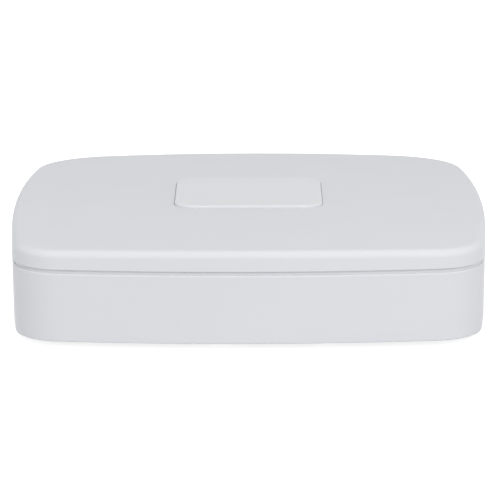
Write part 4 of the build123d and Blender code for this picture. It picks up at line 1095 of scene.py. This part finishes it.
def make_floor():
    """A wide pale floor. The camera and glossy surfaces see it nearly white, with the object's shadow."""
    bm = bmesh.new()
    reach = 4000.0
    corners = ((-reach, -reach), (reach, -reach), (reach, reach), (-reach, reach))
    bm.faces.new([bm.verts.new((x, y, 0)) for x, y in corners])
    floor = new_object("studio_floor", bm)
    material = bpy.data.materials.new("studio_floor")
    material.use_nodes = True
    tree = material.node_tree
    tree.nodes.clear()
    matt = shader_node(tree, "BsdfDiffuse", {"Color": (0.62, 0.62, 0.62, 1)})
    glow = shader_node(tree, "Emission", {"Strength": seen_rays(tree, FLOOR_GLOW)})
    both = shader_node(tree, "AddShader", {0: matt, 1: glow})
    fill(tree, tree.nodes.new("ShaderNodeOutputMaterial"), {"Surface": both})
    floor.data.materials.append(material)


def make_world():
    """A white surround. It lights the object from the front half of the room more than from behind."""
    world = bpy.data.worlds.new("studio")
    bpy.context.scene.world = world
    world.use_nodes = True
    tree = world.node_tree
    way = tree.nodes.new("ShaderNodeSeparateXYZ")
    fill(tree, way, {0: shader_node(tree, "TexCoord", {}, "Generated")})
    front = tree.nodes.new("ShaderNodeMapRange")
    front.interpolation_type = "SMOOTHSTEP"
    fill(tree, front, {"Value": way.outputs["Y"], "From Min": 0.55, "From Max": -0.05})
    fall = calculated(tree, "MULTIPLY_ADD", way.outputs["Z"], -OVERHEAD_LOSS, 1.0)
    shape = calculated(tree, "MULTIPLY", front.outputs["Result"], fall)
    light = calculated(tree, "MULTIPLY_ADD", shape, IN_FRONT, BEHIND)
    seen = seen_rays(tree, 1.0)
    hidden = calculated(tree, "SUBTRACT", 1.0, seen)
    fill(tree, tree.nodes["Background"], {"Color": (1, 1, 1, 1),
                                          "Strength": calculated(tree, "MULTIPLY_ADD", light, hidden, seen)})


def make_softbox(name, place, size, power, mirrored=True):
    """A soft lamp at place, in millimetres, that points at the case. Metal shows its image where mirrored."""
    lamp = bpy.data.lights.new(name, "AREA")
    lamp.shape = "RECTANGLE"
    lamp.size = size[0] * MM
    lamp.size_y = size[1] * MM
    lamp.energy = power
    obj = linked(name, lamp)
    obj.visible_glossy = mirrored
    obj.location = Vector(place) * MM
    obj.rotation_mode = "QUATERNION"
    obj.rotation_quaternion = (Vector((0, 0, 25)) - Vector(place)).to_track_quat("-Z", "Y")


def make_camera():
    """The camera of the photograph, found by fitting the case's outline in it."""
    image_size = 500.0
    focal_pixels = 2909.8
    middle_u = 248.811
    middle_v = 246.5
    place = Vector((2.69, -1252.27, 315.14))
    aim = Vector((0.0, 0.0, 19.9))
    roll = math.radians(-0.18)
    forward = (aim - place).normalized()
    right = forward.cross(Vector((0, 0, 1))).normalized()
    up = right.cross(forward)
    across = right * math.cos(roll) + up * math.sin(roll)
    upward = up * math.cos(roll) - right * math.sin(roll)
    camera = bpy.data.cameras.new("photo_camera")
    camera.sensor_width = 36.0
    camera.lens = focal_pixels * camera.sensor_width / image_size
    camera.shift_x = (image_size / 2 - middle_u) / image_size
    camera.shift_y = (middle_v - image_size / 2) / image_size
    camera.clip_start = 0.05
    camera.clip_end = 50.0
    obj = linked("photo_camera", camera)
    turn = Matrix((across, upward, -forward)).transposed().to_4x4()
    obj.matrix_world = Matrix.Translation(place * MM) @ turn
    bpy.context.scene.camera = obj


make_floor()
make_world()
make_softbox("key_front", (500, -1000, 520), (800, 600), 2.3)
make_softbox("top_fill", (0, -400, 1550), (1500, 1500), 6.0, mirrored=False)
make_camera()
bpy.context.scene.view_settings.view_transform = "Standard"
